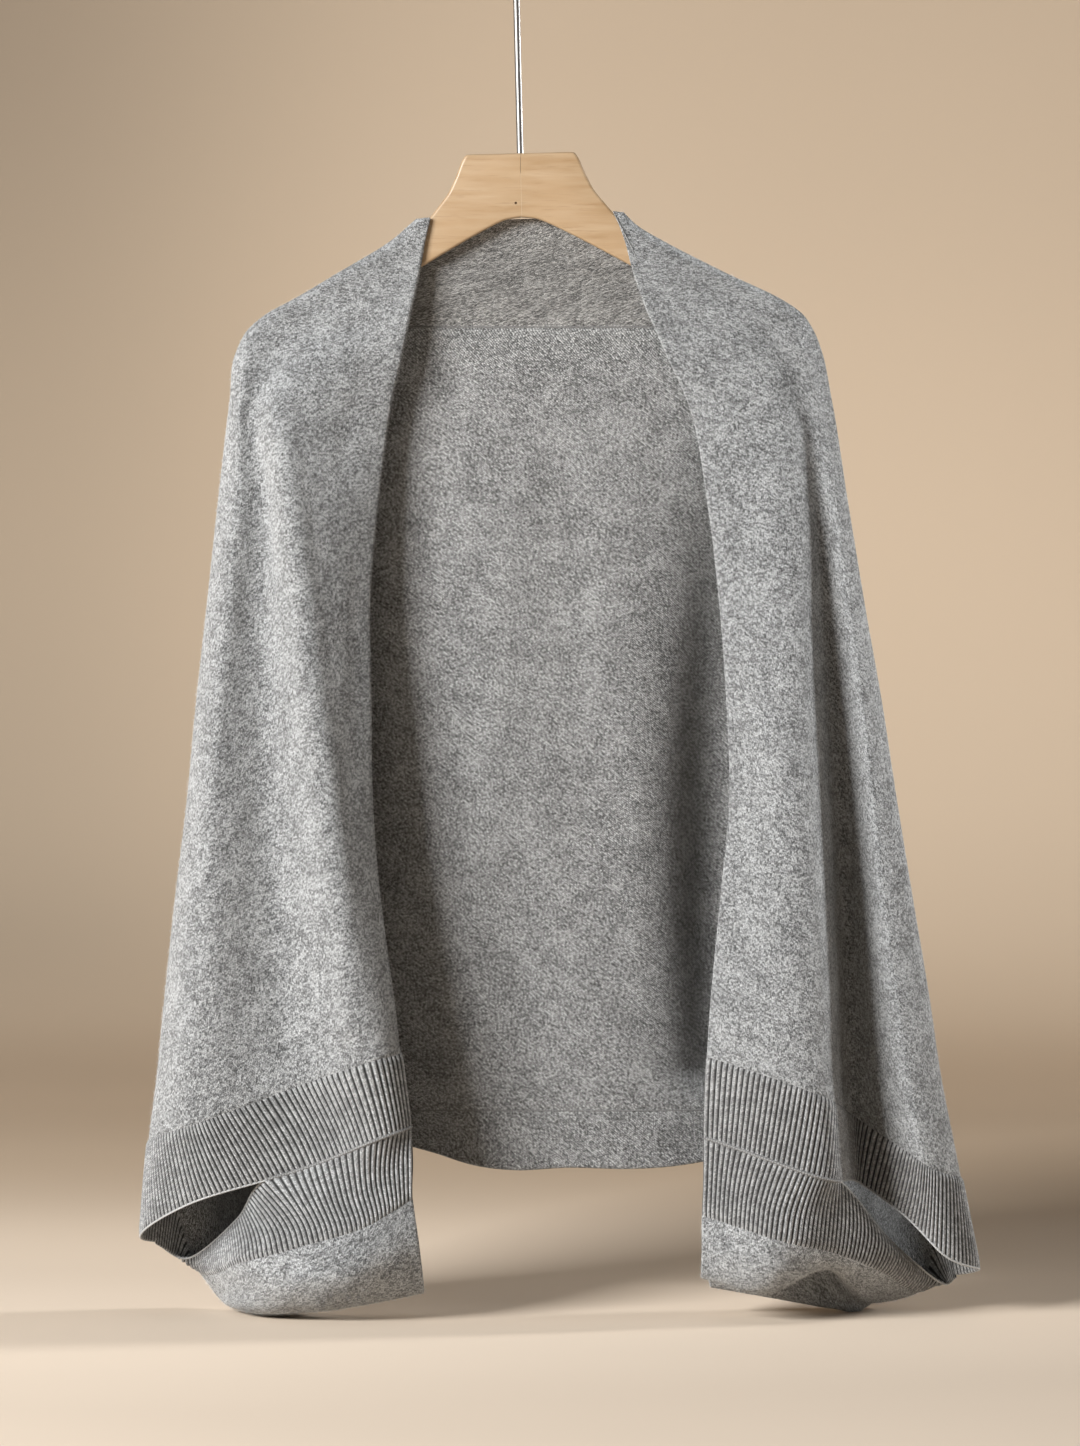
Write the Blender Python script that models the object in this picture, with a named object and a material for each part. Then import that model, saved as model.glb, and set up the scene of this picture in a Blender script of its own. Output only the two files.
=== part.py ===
"""Knitted poncho sweater, open at the front, hanging on a wooden hanger.

The origin is where the hook rests on its rail. The front faces -Y and +Z is up.
Sizes are in millimetres up to the meshes, which are in metres. A drop is a
distance below the hook seat, and a depth is a distance in front of the hanger's
plane on the front, or behind it on the back.
"""

import math

import bmesh
import bpy
import numpy as np

MM = 0.001

# The cloth
WALL = 2.0
SEAM_GAP = 0.3
RIB_PITCH = 4.0
RIB_RAISE = 0.9
RIB_LEAN = 0.28
YOKE_DROP = 308.0
HEM_SEAM_DROP = 907.0
NECK_SAG = 3.0
YOKE_ROWS = 6
BACK_ROWS = 13
UNDER_ROWS = 15
HEM_COLUMNS = 16

# The hanger
HANGER_LEAN = 1.4
WOOD_THICKNESS = 10.0
WOOD_ROUNDING = 2.2
WOOD_TOP_DROP = 176.0
JOINT_GAP = 0.3
HOOK_WIRE = 5.0
HOOK_RADIUS = 18.0
HOOK_TIP_ANGLE = 205.0
HOOK_NECK_ANGLE = -48.0
HOOK_NECK_DROP = 56.0
HOOK_HOLE = 5.8
HOOK_HOLE_DEPTH = 18.0
HOOK_DEPTH_IN_WOOD = 16.0

# A place counts across the sections of the whole wrap. The side seams, where front and
# back join, lie a little behind the side folds.
LEFT_FOLD, MIDDLE, RIGHT_FOLD, RIGHT_EDGE = 4, 7, 10, 14
SIDE_SEAM = 4.3
FRONT_PLACES = np.array((0, 0.3, 0.65, 1, 1.33, 1.67, 2, 2.2, 2.4, 2.7, 3, 3.3, 3.6, 3.82, 4,
                         4.15, SIDE_SEAM))
UNDER_STATIONS = np.array((0, 0.35, 0.7, 1, 1.35, 1.7, 2, 2.25, 2.5, 2.75, 3, 3.2, 3.4, 3.6,
                           3.8, 3.95, 4.1, 4.25, 4.45, 4.7, 5))

# Each row is a level section of one front, from its open edge out to the side fold.
# Columns: drop, then how far out from the hook's plumb line and how deep in front
# are the open edge, the inner ridge, the valley and the outer ridge, and last how
# far out the side fold is.
LEFT_FRONT = (
    (226, 64, 8.8, 67.0, 8.8, 70, 8.4, 73, 6.0, 75),
    (243, 68, 9.6, 74.0, 9.4, 80, 9.2, 88, 7.6, 95),
    (266, 72, 11, 90, 10, 108, 9.4, 125, 8.0, 133),
    (289, 77, 14, 107, 11, 137, 9.6, 163, 8.2, 172),
    (297, 79, 16, 113, 12, 145, 10, 177, 8.6, 187),
    (308, 81, 18, 120, 13, 157, 10.8, 190, 9.4, 201),
    (327, 84, 17, 140, 20, 178, 14.5, 202, 14, 212),
    (365, 92, 12, 168, 35, 196, 21.5, 209, 21, 217),
    (441, 102, 14, 165, 49, 190, 27.5, 213, 29, 226),
    (517, 108, 21, 160, 57, 190, 29, 219, 36, 234),
    (593, 107, 30, 154, 63, 189, 33, 226, 43, 242),
    (669, 106, 38, 145, 68, 186, 37, 231, 49, 249),
    (745, 100, 46, 134, 73, 182, 41, 235, 54, 258),
    (821, 90, 53, 121, 77, 176, 44, 240, 57, 266),
    (882, 82, 56, 111, 78, 168, 48, 243, 58, 272),
    (927, 77, 58, 105, 77, 160, 53, 244, 57, 278),
    (1005, 77, 60, 104, 78, 160, 57, 246, 50, 285),
)
RIGHT_FRONT = (
    (221, 75, 8.8, 77, 8.8, 79, 8.2, 81.5, 5.6, 83),
    (232, 80, 9.3, 84, 9.2, 87, 8.8, 91, 7.0, 95),
    (243, 84, 9.8, 92, 9.4, 99, 9.2, 107, 7.8, 114),
    (266, 90, 12, 109, 10.5, 129, 9.4, 150, 8.0, 159),
    (289, 98, 14, 127, 12, 161, 10, 196, 8.4, 206),
    (297, 101, 15, 135, 13, 171, 11, 206, 8.9, 218),
    (308, 106, 16, 146, 14, 183, 12, 214, 9.4, 226),
    (327, 114, 18, 168, 17, 203, 13, 221, 12, 234),
    (365, 131, 19, 193, 23, 220, 15, 232, 14, 242),
    (441, 146, 23.5, 207, 37, 230, 17, 246, 21, 253),
    (517, 155, 31, 212, 50, 236, 15, 256, 28, 265),
    (593, 160, 41, 215, 62, 242, 12, 266, 34, 278),
    (669, 162, 49, 219, 73, 247, 9, 274, 40, 289),
    (745, 155, 56, 223, 82, 251, 6, 282, 46, 301),
    (821, 148, 61, 227, 88, 254, 4, 291, 49, 314),
    (882, 144, 63, 229, 90, 256, 4, 301, 48, 323),
    (927, 143, 64, 231, 91, 261, 6, 309, 47, 332),
    (1032, 143, 65, 236, 90, 275, 12, 326, 38, 353),
)
# Each row is a level section of the back. Columns: drop, then how far out and how
# deep behind are the left ridge and the left inner bend, the depth at the middle,
# and how far out and how deep are the right inner bend and the right ridge.
BACK = (
    (221, 64, 7.8, 38, 9.4, 10.2, 42, 9.4, 75, 7.6),
    (243, 87, 8.0, 52, 9.8, 10.8, 60, 9.8, 105, 8.2),
    (266, 124, 8.2, 70, 10.4, 11.6, 80, 10.4, 149, 8.4),
    (289, 161, 8.6, 92, 11, 12.6, 102, 11, 195, 8.8),
    (308, 189, 9.8, 104, 12, 13.6, 116, 12, 213, 10),
    (327, 198, 13, 106, 13, 14.2, 118, 13, 220, 13),
    (365, 200, 20, 106, 15, 15, 118, 15, 224, 21),
    (441, 203, 30, 106, 18, 16, 115, 17, 224, 34),
    (593, 206, 44, 106, 22.5, 18, 108, 20, 222, 54),
    (745, 208, 54, 106, 27, 21.5, 108, 24.5, 230, 66),
    (907, 212, 60, 106, 30, 25, 121, 29, 254, 67),
    (1032, 222, 58, 106, 34, 29, 124, 34, 268, 66),
)

# The rib band of each front runs round the sleeve's mouth. Each row is a place across
# the front: 0 is the open edge, 1 the inner ridge, 2 the valley, 3 the outer ridge and
# 4 the side fold. Columns: place, drop of the band's top, drop of its knitted edge.
LEFT_BAND = (
    (0.0, 860, 916),
    (1.0, 868, 926),
    (2.0, 887, 948),
    (3.0, 915, 974),
    (4.0, 929, 1003),
    (4.5, 932, 1008),
)
RIGHT_BAND = (
    (0.0, 863, 924),
    (1.0, 891, 954),
    (2.0, 910, 962),
    (2.5, 928, 982),
    (3.0, 946, 1011),
    (4.0, 957, 1028),
    (4.5, 960, 1034),
)

# The lower side of each sleeve: from the edge that the upper band is joined to, down
# over the turned lower band, round the bottom and up to the back's hem seam. Each fold
# line has a row of stations along the band's edge: the open front end, the middle of
# the joined stretch, its end, the mouth's lower lip, and the lip's lowest point. A
# station says how far out, the depth (minus in front of the hanger) and the drop.
LEFT_UNDER = {
    "turned fold": ((77, -63, 944), (121, -75, 966), (165, -72, 984), (207, -46, 1004),
                    (248, 36, 1026)),
    "band seam": ((77, -66, 971), (114, -82, 992), (157, -80, 1005), (205, -54, 1019),
                  (244, 42, 1029)),
    "belly": ((72, -66, 1007), (118, -86, 1026), (155, -82, 1034), (201, -48, 1039),
              (238, 47, 1037)),
    "front bottom": ((69, -42, 1041), (118, -56, 1051), (154, -52, 1056), (204, -28, 1056),
                     (232, 51, 1042)),
    "crease": ((72, -20, 1041), (118, -20, 1050), (156, -12, 1056), (201, 7, 1059),
               (223, 55, 1036)),
    "rear bottom": ((78, -2, 1032), (122, 8, 1043), (158, 16, 1052), (194, 30, 1052),
                    (215, 59, 1014)),
    "back belly": ((93, 27, 962), (132, 44, 984), (168, 54, 990), (192, 60, 986),
                   (217, 61, 958)),
}
RIGHT_UNDER = {
    "turned fold": ((143, -66, 954), (204, -94, 977), (246, -68, 986), (287, -34, 1014),
                    (321, 29, 1041)),
    "band seam": ((142, -68, 983), (200, -95, 1001), (243, -66, 1012), (280, -30, 1028),
                  (313, 38, 1044)),
    "belly": ((142, -68, 1010), (194, -88, 1026), (240, -56, 1022), (272, -18, 1038),
              (306, 45, 1046)),
    "front bottom": ((142, -58, 1031), (190, -64, 1042), (237, -46, 1024), (266, -4, 1047),
                     (298, 51, 1045)),
    "crease": ((147, -30, 1025), (194, -26, 1029), (239, -12, 1024), (264, 8, 1052),
               (291, 57, 1040)),
    "rear bottom": ((150, 0, 1038), (202, 2, 1049), (241, 10, 1057), (265, 30, 1056),
                    (286, 62, 1022)),
    "back belly": ((151, 36, 962), (200, 56, 990), (238, 64, 996), (262, 67, 990),
                   (285, 64, 962)),
}
# The mouth's lower lip: the lip's middle and its lowest point, as stations.
LEFT_LIP = ((211, -24, 988), (249, 31, 1020))
RIGHT_LIP = ((284, -28, 1002), (325, 22, 1038))
# Places where the first three stations meet the upper band, and where all six meet
# the back's hem seam. The sixth station is the side fold, with a drop for each line.
LEFT_JOIN = (0.0, 1.45, 2.35)
RIGHT_JOIN = (0.0, 0.75, 1.3)
LEFT_HEM_PLACES = (6.15, 5.75, 5.25, 4.95, 4.7, SIDE_SEAM)
RIGHT_HEM_PLACES = (5.8, 5.35, 5.02, 4.82, 4.6, SIDE_SEAM)
LEFT_FOLD_DROPS = (1008, 986, 944, 938, 932, 926, 920, 914, HEM_SEAM_DROP)
RIGHT_FOLD_DROPS = (1034, 1011, 970, 960, 950, 940, 930, 918, HEM_SEAM_DROP)
BAND_SEAM_LINE = 2
LAST_LINE = 8

# The hem's edge across the middle of the back. Columns: place, drop.
HEM_EDGE = ((6.15, 931), (6.4, 938), (6.75, 949), (7.0, 952), (7.35, 950), (7.75, 951),
            (8.0, 949), (8.2, 945))

# Half of the hanger's outline. Columns: how far out along the arm, drop.
WOOD_TOP = ((0, 176), (20, 176), (38, 176), (42, 177.2), (45, 182), (49.5, 193), (55.5, 205),
            (63, 214.8), (71, 224.4), (80, 232), (101, 246.4), (127, 261.8), (152, 276.2),
            (179, 291), (190, 297))
WOOD_BOTTOM = ((197, 304), (198.5, 312), (194, 320), (184, 322), (160, 308.5), (120, 285.5),
               (80, 262.4), (51, 246), (29, 234.2), (13, 226.8), (0, 224.8))


def clear_scene():
    for item in list(bpy.data.objects):
        bpy.data.objects.remove(item, do_unlink=True)


def material(name, colour, roughness, metallic=0.0):
    made = bpy.data.materials.new(name)
    made.use_nodes = True
    shader = made.node_tree.nodes["Principled BSDF"]
    shader.inputs["Base Color"].default_value = (*colour, 1.0)
    shader.inputs["Roughness"].default_value = roughness
    shader.inputs["Metallic"].default_value = metallic
    made.diffuse_color = (*colour, 1.0)
    return made


def place_object(name, data, finish, parent=None):
    made = bpy.data.objects.new(name, data)
    bpy.context.collection.objects.link(made)
    made.parent = parent
    data.materials.append(finish)
    return made


def smooth_mesh(mesh):
    mesh.shade_smooth()
    mesh.set_sharp_from_angle(angle=math.radians(40))


def hermite(start, end, slope_start, slope_end, part):
    """Points on the smooth curve between two points with the given slopes."""
    square = part * part
    cube = square * part
    return (
        (2 * cube - 3 * square + 1) * start
        + (cube - 2 * square + part) * slope_start
        + (3 * square - 2 * cube) * end
        + (cube - square) * slope_end
    )


def curve_through(knots, rows, at):
    """The smooth curve through one row of values for each knot, read at each place."""
    knots = np.asarray(knots, float)
    rows = np.asarray(rows, float).reshape(len(knots), -1)
    at = np.asarray(at, float)
    slopes = np.gradient(rows, knots, axis=0)
    low = np.clip(np.searchsorted(knots, at, side="right") - 1, 0, len(knots) - 2)
    span = (knots[low + 1] - knots[low])[:, None]
    part = (at[:, None] - knots[low][:, None]) / span
    return hermite(rows[low], rows[low + 1], slopes[low] * span, slopes[low + 1] * span, part)


def read_table(table, at):
    """Every column but the first of a table, read smoothly at values of the first."""
    table = np.asarray(table, float)
    return curve_through(table[:, 0], table[:, 1:], at)


def along_controls(controls, place):
    """Points on the smooth line through each row of control points, at its own place."""
    slopes = np.empty_like(controls)
    slopes[:, 1:-1] = (controls[:, 2:] - controls[:, :-2]) / 2
    slopes[:, 0] = 1.5 * (controls[:, 1] - controls[:, 0]) - 0.5 * slopes[:, 1]
    slopes[:, -1] = 1.5 * (controls[:, -1] - controls[:, -2]) - 0.5 * slopes[:, -2]
    low = np.clip(np.floor(place).astype(int), 0, controls.shape[1] - 2)
    each = np.arange(len(place))
    part = (place - low)[:, None]
    return hermite(controls[each, low], controls[each, low + 1],
                   slopes[each, low], slopes[each, low + 1], part)


def body(place, drop):
    """Points on the outside of the whole wrap, from the left open edge round the left
    side fold, across the back and round the right side fold to the right open edge."""
    place, drop = np.broadcast_arrays(np.asarray(place, float), np.asarray(drop, float))
    shape = place.shape
    place, drop = place.ravel(), drop.ravel()
    left = read_table(LEFT_FRONT, drop)
    right = read_table(RIGHT_FRONT, drop)
    back = read_table(BACK, drop)
    controls = np.zeros((len(drop), RIGHT_EDGE + 1, 2))
    for fold in range(LEFT_FOLD):
        out, deep = 2 * fold, 2 * fold + 1
        controls[:, fold] = -left[:, [out, deep]]
        controls[:, RIGHT_EDGE - fold, 0] = right[:, out]
        controls[:, RIGHT_EDGE - fold, 1] = -right[:, deep]
    controls[:, LEFT_FOLD, 0] = -left[:, 8]
    controls[:, RIGHT_FOLD, 0] = right[:, 8]
    controls[:, 5] = back[:, [0, 1]] * (-1, 1)
    controls[:, 6] = back[:, [2, 3]] * (-1, 1)
    controls[:, MIDDLE, 1] = back[:, 4]
    controls[:, 8] = back[:, [5, 6]]
    controls[:, 9] = back[:, [7, 8]]
    flat = along_controls(controls, place)
    return np.column_stack((flat, -drop)).reshape(*shape, 3)


def outward(surface, first, second, turn=1):
    """The direction away from the hollow, at each pair of places on a surface."""
    step = 1e-3
    along = surface(first + step, second) - surface(first - step, second)
    down = surface(first, second + step) - surface(first, second - step)
    normal = turn * np.cross(along, down)
    return normal / np.linalg.norm(normal, axis=-1, keepdims=True)


def on_side(side, place):
    """A place counted from the left open edge, or the same one from the right edge."""
    return place if side == "left" else RIGHT_EDGE - place


def length_of(curve):
    return np.linalg.norm(np.diff(curve, axis=0), axis=1).sum()


def evenly_along(curve, low, high, pieces):
    """Numbers from low to high that part a curve of points into equal lengths."""
    steps = np.linalg.norm(np.diff(curve, axis=0), axis=1)
    run = np.concatenate(([0], np.cumsum(steps)))
    return np.interp(np.linspace(0, run[-1], pieces + 1), run,
                     np.linspace(low, high, len(curve)))


def shorten(grid, amount):
    """Moves a grid's first and last rows inward by an amount, along the grid."""
    first = grid[1] - grid[0]
    last = grid[-2] - grid[-1]
    grid[0] += first / np.linalg.norm(first, axis=-1, keepdims=True) * amount
    grid[-1] += last / np.linalg.norm(last, axis=-1, keepdims=True) * amount


def cloth_wall(name, outer, normals, finish, ribbed=False):
    """One closed wall of cloth: the outer grid, and the same grid moved in by the
    wall's thickness. Ribs lift every second column of the outer grid alone."""
    inner = outer - normals * WALL
    if ribbed:
        outer = outer.copy()
        outer[:, 1::2] += normals[:, 1::2] * RIB_RAISE
    for grid in (outer, inner):
        shorten(grid, SEAM_GAP / 2)
        shorten(grid.swapaxes(0, 1), SEAM_GAP / 2)
    rows, columns = outer.shape[:2]
    shape = bmesh.new()
    outside = [[shape.verts.new(point * MM) for point in row] for row in outer]
    inside = [[shape.verts.new(point * MM) for point in row] for row in inner]
    for row in range(rows - 1):
        for column in range(columns - 1):
            for sheet in (outside, inside):
                shape.faces.new((sheet[row][column], sheet[row + 1][column],
                                 sheet[row + 1][column + 1], sheet[row][column + 1]))
    rim = [(0, column) for column in range(columns)]
    rim += [(row, columns - 1) for row in range(1, rows)]
    rim += [(rows - 1, column) for column in range(columns - 2, -1, -1)]
    rim += [(row, 0) for row in range(rows - 2, 0, -1)]
    for (row, column), (next_row, next_column) in zip(rim, rim[1:] + rim[:1]):
        here, there = outside[row][column], outside[next_row][next_column]
        under_here, under_there = inside[row][column], inside[next_row][next_column]
        # Both pieces at a seam split their rims along the same diagonals.
        if sum(here.co) < sum(there.co):
            shape.faces.new((here, there, under_there))
            shape.faces.new((here, under_there, under_here))
        else:
            shape.faces.new((here, there, under_here))
            shape.faces.new((there, under_there, under_here))
    bmesh.ops.recalc_face_normals(shape, faces=shape.faces)
    mesh = bpy.data.meshes.new(name)
    shape.to_mesh(mesh)
    shape.free()
    smooth_mesh(mesh)
    return place_object(name, mesh, finish)


def body_panel(name, place, drop, finish):
    """A wall of cloth that lies on the wrap's own surface, from a grid of places."""
    return cloth_wall(name, body(place, drop), outward(body, place, drop), finish)


def on_straights(at, knots, rows):
    """Points on the straight lines between rows, which a plain panel's edge follows."""
    return np.stack([np.interp(at, knots, column) for column in rows.T], axis=1)


def band_of(side):
    return LEFT_BAND if side == "left" else RIGHT_BAND


def neck_drop(side):
    return (LEFT_FRONT if side == "left" else RIGHT_FRONT)[0][0]


def back_drops():
    """The drops of the back's rows, closer together near the yoke, where it bends."""
    return YOKE_DROP + (HEM_SEAM_DROP - YOKE_DROP) * np.linspace(0, 1, BACK_ROWS + 1) ** 1.25


def make_front(side, finish):
    """A front, over the shoulder and round the side fold, down to its rib band. Along
    the side seam its rows meet those of the yoke and of the back."""
    top = neck_drop(side)
    low = read_table(band_of(side), FRONT_PLACES)[:, 0]
    seam = np.concatenate((np.linspace(top, YOKE_DROP, YOKE_ROWS + 1)[:-1], back_drops(),
                           low[-1:]))
    falls = (seam - top) / (low[-1] - top)
    drop = top + (low - top)[None, :] * falls[:, None]
    return body_panel("front_" + side, on_side(side, FRONT_PLACES[None, :]), drop, finish)


def make_upper_cuff(side, finish):
    """The rib band that ends a front. It is the upper lip of the sleeve's mouth."""
    run = np.linspace(0, 1, 200)
    levels = read_table(band_of(side), run * SIDE_SEAM)
    middle = body(on_side(side, run * SIDE_SEAM), levels.mean(axis=1))
    ribs = round(length_of(middle) / RIB_PITCH)
    run = evenly_along(middle, 0, 1, 2 * ribs)
    places, drops = [], []
    for fall in (0, 0.5, 1):
        # A rib's top is farther out than its foot, but for the ribs at the two ends.
        place = SIDE_SEAM * (run + RIB_LEAN * run * (1 - run) * (1 - fall))
        top, edge = read_table(band_of(side), place).T
        places.append(place)
        drops.append(top + (edge - top) * fall)
    spots = on_side(side, np.array(places)), np.array(drops)
    outer, normals = body(*spots), outward(body, *spots)
    # The band's top follows the front's lower edge, which is straight between columns.
    seam = (on_side(side, FRONT_PLACES), read_table(band_of(side), FRONT_PLACES)[:, 0])
    outer[0] = on_straights(places[0], FRONT_PLACES, body(*seam))
    normals[0] = on_straights(places[0], FRONT_PLACES, outward(body, *seam))
    return cloth_wall("cuff_upper_" + side, outer, normals, finish, True)


def back_places():
    half = np.array((SIDE_SEAM, 4.55, 4.8, 5, 5.33, 5.67, 6, 6.25, 6.5, 6.75))
    return np.concatenate((half, (MIDDLE,), RIGHT_EDGE - half[::-1]))


def make_back(finish):
    """The back, from the yoke down to the hem seam, round to both side seams."""
    return body_panel("back", back_places()[None, :], back_drops()[:, None], finish)


def make_yoke(finish):
    """The yoke, from the neck edge between the shoulders down to the back."""
    places = back_places()
    run = (places - places[0]) / (places[-1] - places[0])
    neck = neck_drop("left") + (neck_drop("right") - neck_drop("left")) * run
    neck += NECK_SAG * 4 * run * (1 - run)
    fall = np.linspace(0, 1, YOKE_ROWS + 1)[:, None]
    return body_panel("yoke", places[None, :], neck + (YOKE_DROP - neck) * fall, finish)


def make_hem(finish):
    """The hem band across the middle of the back, between the two sleeves."""
    places = np.linspace(HEM_EDGE[0][0], HEM_EDGE[-1][0], HEM_COLUMNS + 1)
    edge = read_table(HEM_EDGE, places)[:, 0]
    fall = np.linspace(0, 1, 3)[:, None]
    return body_panel("hem_band", places[None, :],
                      HEM_SEAM_DROP + (edge - HEM_SEAM_DROP) * fall, finish)


def lower_sleeve(side):
    """The surface of a sleeve's lower side, by station and by fold line, and the
    surface's outward direction, which follows the neighbours' at the seams."""
    left = side == "left"
    under = LEFT_UNDER if left else RIGHT_UNDER
    lip = LEFT_LIP if left else RIGHT_LIP
    join = LEFT_JOIN if left else RIGHT_JOIN
    hem_places = LEFT_HEM_PLACES if left else RIGHT_HEM_PLACES
    fold_drops = LEFT_FOLD_DROPS if left else RIGHT_FOLD_DROPS
    mirror = np.array((-1.0 if left else 1.0, 1.0, -1.0))
    turn = 1 if left else -1

    def join_seat(station):
        place = curve_through(range(3), join, np.clip(station, 0, 2))[:, 0]
        return on_side(side, place), read_table(band_of(side), place)[:, 1]

    def hem_seat(station):
        place = curve_through(range(6), hem_places, station)[:, 0]
        return on_side(side, place), np.full(len(place), HEM_SEAM_DROP)

    def fold_seat(line):
        drop = curve_through(range(9), fold_drops, line)[:, 0]
        return np.full(len(drop), on_side(side, SIDE_SEAM)), drop

    lines = np.zeros((LAST_LINE + 1, 6, 3))
    lines[0, :3] = body(*join_seat(np.arange(3.0)))
    lines[0, 3:5] = np.array(lip) * mirror
    for number, stations in enumerate(under.values(), start=1):
        lines[number, :5] = np.array(stations) * mirror
    lines[LAST_LINE] = body(*hem_seat(np.arange(6.0)))
    lines[:, 5] = body(*fold_seat(np.arange(LAST_LINE + 1.0)))

    def spline(station, line):
        across = [curve_through(range(6), row, station) for row in lines]
        return along_controls(np.stack(across, axis=1), line)

    def surface(station, line):
        station, line = np.broadcast_arrays(station, line)
        shape = station.shape
        station, line = station.ravel(), line.ravel()
        points = spline(station, line)
        # Along its seams the surface is drawn exactly onto the neighbouring panels.
        for seat, at_station, at_line, pull in (
            (join_seat(station), station, 0.0, np.clip(1 - line, 0, 1) * (station <= 2)),
            (hem_seat(station), station, LAST_LINE, np.clip(line - LAST_LINE + 1, 0, 1)),
            (fold_seat(line), 5.0, line, np.clip(station - 4, 0, 1)),
        ):
            edge = spline(*np.broadcast_arrays(np.asarray(at_station, float),
                                               np.asarray(at_line, float),
                                               station)[:2])
            points += (body(*seat) - edge) * pull[:, None] ** 2
        return points.reshape(*shape, 3)

    def directions(station, line):
        found = outward(surface, station, line, turn)
        station, line = np.broadcast_arrays(station, line)
        for seat, here in (
            (join_seat(station.ravel()), (line == 0) & (station <= 2)),
            (hem_seat(station.ravel()), line == LAST_LINE),
            (fold_seat(line.ravel()), station == 5),
        ):
            place, drop = (part.reshape(station.shape) for part in seat)
            found[here] = outward(body, place, drop)[here]
        return found

    return surface, directions


def make_lower_cuff(side, finish):
    """The lower rib band: joined to the upper one in front, then the mouth's lower lip."""
    surface, directions = lower_sleeve(side)
    middle = surface(np.linspace(0, 5, 200), np.full(200, BAND_SEAM_LINE / 2))
    ribs = round(length_of(middle) / RIB_PITCH)
    station = evenly_along(middle, 0, 5, 2 * ribs)
    line = np.arange(BAND_SEAM_LINE + 1.0)[:, None]
    outer, normals = surface(station[None, :], line), directions(station[None, :], line)
    seam = UNDER_STATIONS[None, :], np.array([[float(BAND_SEAM_LINE)]])
    outer[-1] = on_straights(station, UNDER_STATIONS, surface(*seam)[0])
    normals[-1] = on_straights(station, UNDER_STATIONS, directions(*seam)[0])
    return cloth_wall("cuff_lower_" + side, outer, normals, finish, True)


def make_under(side, finish):
    """The plain lower side of a sleeve, from the lower rib band round to the back."""
    surface, directions = lower_sleeve(side)
    station = UNDER_STATIONS[None, :]
    line = np.linspace(BAND_SEAM_LINE, LAST_LINE, UNDER_ROWS + 1)[:, None]
    return cloth_wall("under_" + side, surface(station, line), directions(station, line),
                      finish)


def make_arm(side, finish, lean, hole):
    """Half of the wooden hanger, with the joint's face at the middle."""
    turn = -1 if side == "left" else 1
    outline = [(max(out, JOINT_GAP / 2), drop) for out, drop in WOOD_TOP + WOOD_BOTTOM]
    shape = bmesh.new()
    front = [shape.verts.new((turn * out * MM, -WOOD_THICKNESS / 2 * MM, -drop * MM))
             for out, drop in outline]
    face = shape.faces.new(front)
    spun = bmesh.ops.extrude_face_region(shape, geom=[face])
    moved = [part for part in spun["geom"] if isinstance(part, bmesh.types.BMVert)]
    bmesh.ops.translate(shape, verts=moved, vec=(0, WOOD_THICKNESS * MM, 0))
    bmesh.ops.recalc_face_normals(shape, faces=shape.faces)
    rounded = []
    for edge in shape.edges:
        first, last = (corner.co for corner in edge.verts)
        along_outline = abs(first.y - last.y) < MM
        at_joint = abs(first.x) < MM and abs(last.x) < MM
        if along_outline and not at_joint:
            rounded.append(edge)
    bmesh.ops.bevel(shape, geom=rounded, offset=WOOD_ROUNDING * MM, segments=2,
                    profile=0.5, affect="EDGES")
    mesh = bpy.data.meshes.new("hanger_" + side)
    shape.to_mesh(mesh)
    shape.free()
    smooth_mesh(mesh)
    arm = place_object("hanger_" + side, mesh, finish, lean)
    cut = arm.modifiers.new("hook hole", "BOOLEAN")
    cut.operation = "DIFFERENCE"
    cut.solver = "EXACT"
    cut.object = hole
    return arm


def make_hole(lean, finish):
    """The tool that drills the hook's hole down the joint. It isn't part of the hanger."""
    shape = bmesh.new()
    bmesh.ops.create_cone(shape, cap_ends=True, segments=16, radius1=HOOK_HOLE / 2 * MM,
                          radius2=HOOK_HOLE / 2 * MM, depth=2 * HOOK_HOLE_DEPTH * MM)
    mesh = bpy.data.meshes.new("hook_hole")
    shape.to_mesh(mesh)
    shape.free()
    hole = place_object("hook_hole", mesh, finish, lean)
    hole.location = (0, 0, -WOOD_TOP_DROP * MM)
    hole.hide_render = True
    hole.display_type = "WIRE"
    return hole


def make_hook(finish, lean):
    """The steel hook: a stem up the middle, a bend to one side and the round hook."""
    centre = HOOK_WIRE / 2 - HOOK_RADIUS
    angles = np.radians(np.linspace(HOOK_TIP_ANGLE, HOOK_NECK_ANGLE, 19))
    loop = np.column_stack((np.cos(angles), np.sin(angles))) * HOOK_RADIUS + (0, centre)
    last = angles[-1]
    reach = HOOK_NECK_DROP + loop[-1, 1]
    part = np.linspace(0, 1, 7)[1:, None]
    neck = hermite(loop[-1], np.array((0.0, -HOOK_NECK_DROP)),
                   np.array((math.sin(last), -math.cos(last))) * reach,
                   np.array((0.0, -1.0)) * reach, part)
    foot = np.array(((0.0, -WOOD_TOP_DROP - HOOK_DEPTH_IN_WOOD),))
    route = np.concatenate((loop, neck, foot)) * MM
    wire = bpy.data.curves.new("hook", "CURVE")
    wire.dimensions = "3D"
    wire.bevel_depth = HOOK_WIRE / 2 * MM
    wire.bevel_resolution = 2
    wire.use_fill_caps = True
    spline = wire.splines.new("POLY")
    spline.points.add(len(route) - 1)
    for point, (across, up) in zip(spline.points, route):
        point.co = (across, 0, up, 1)
    return place_object("hook", wire, finish, lean)


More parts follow.
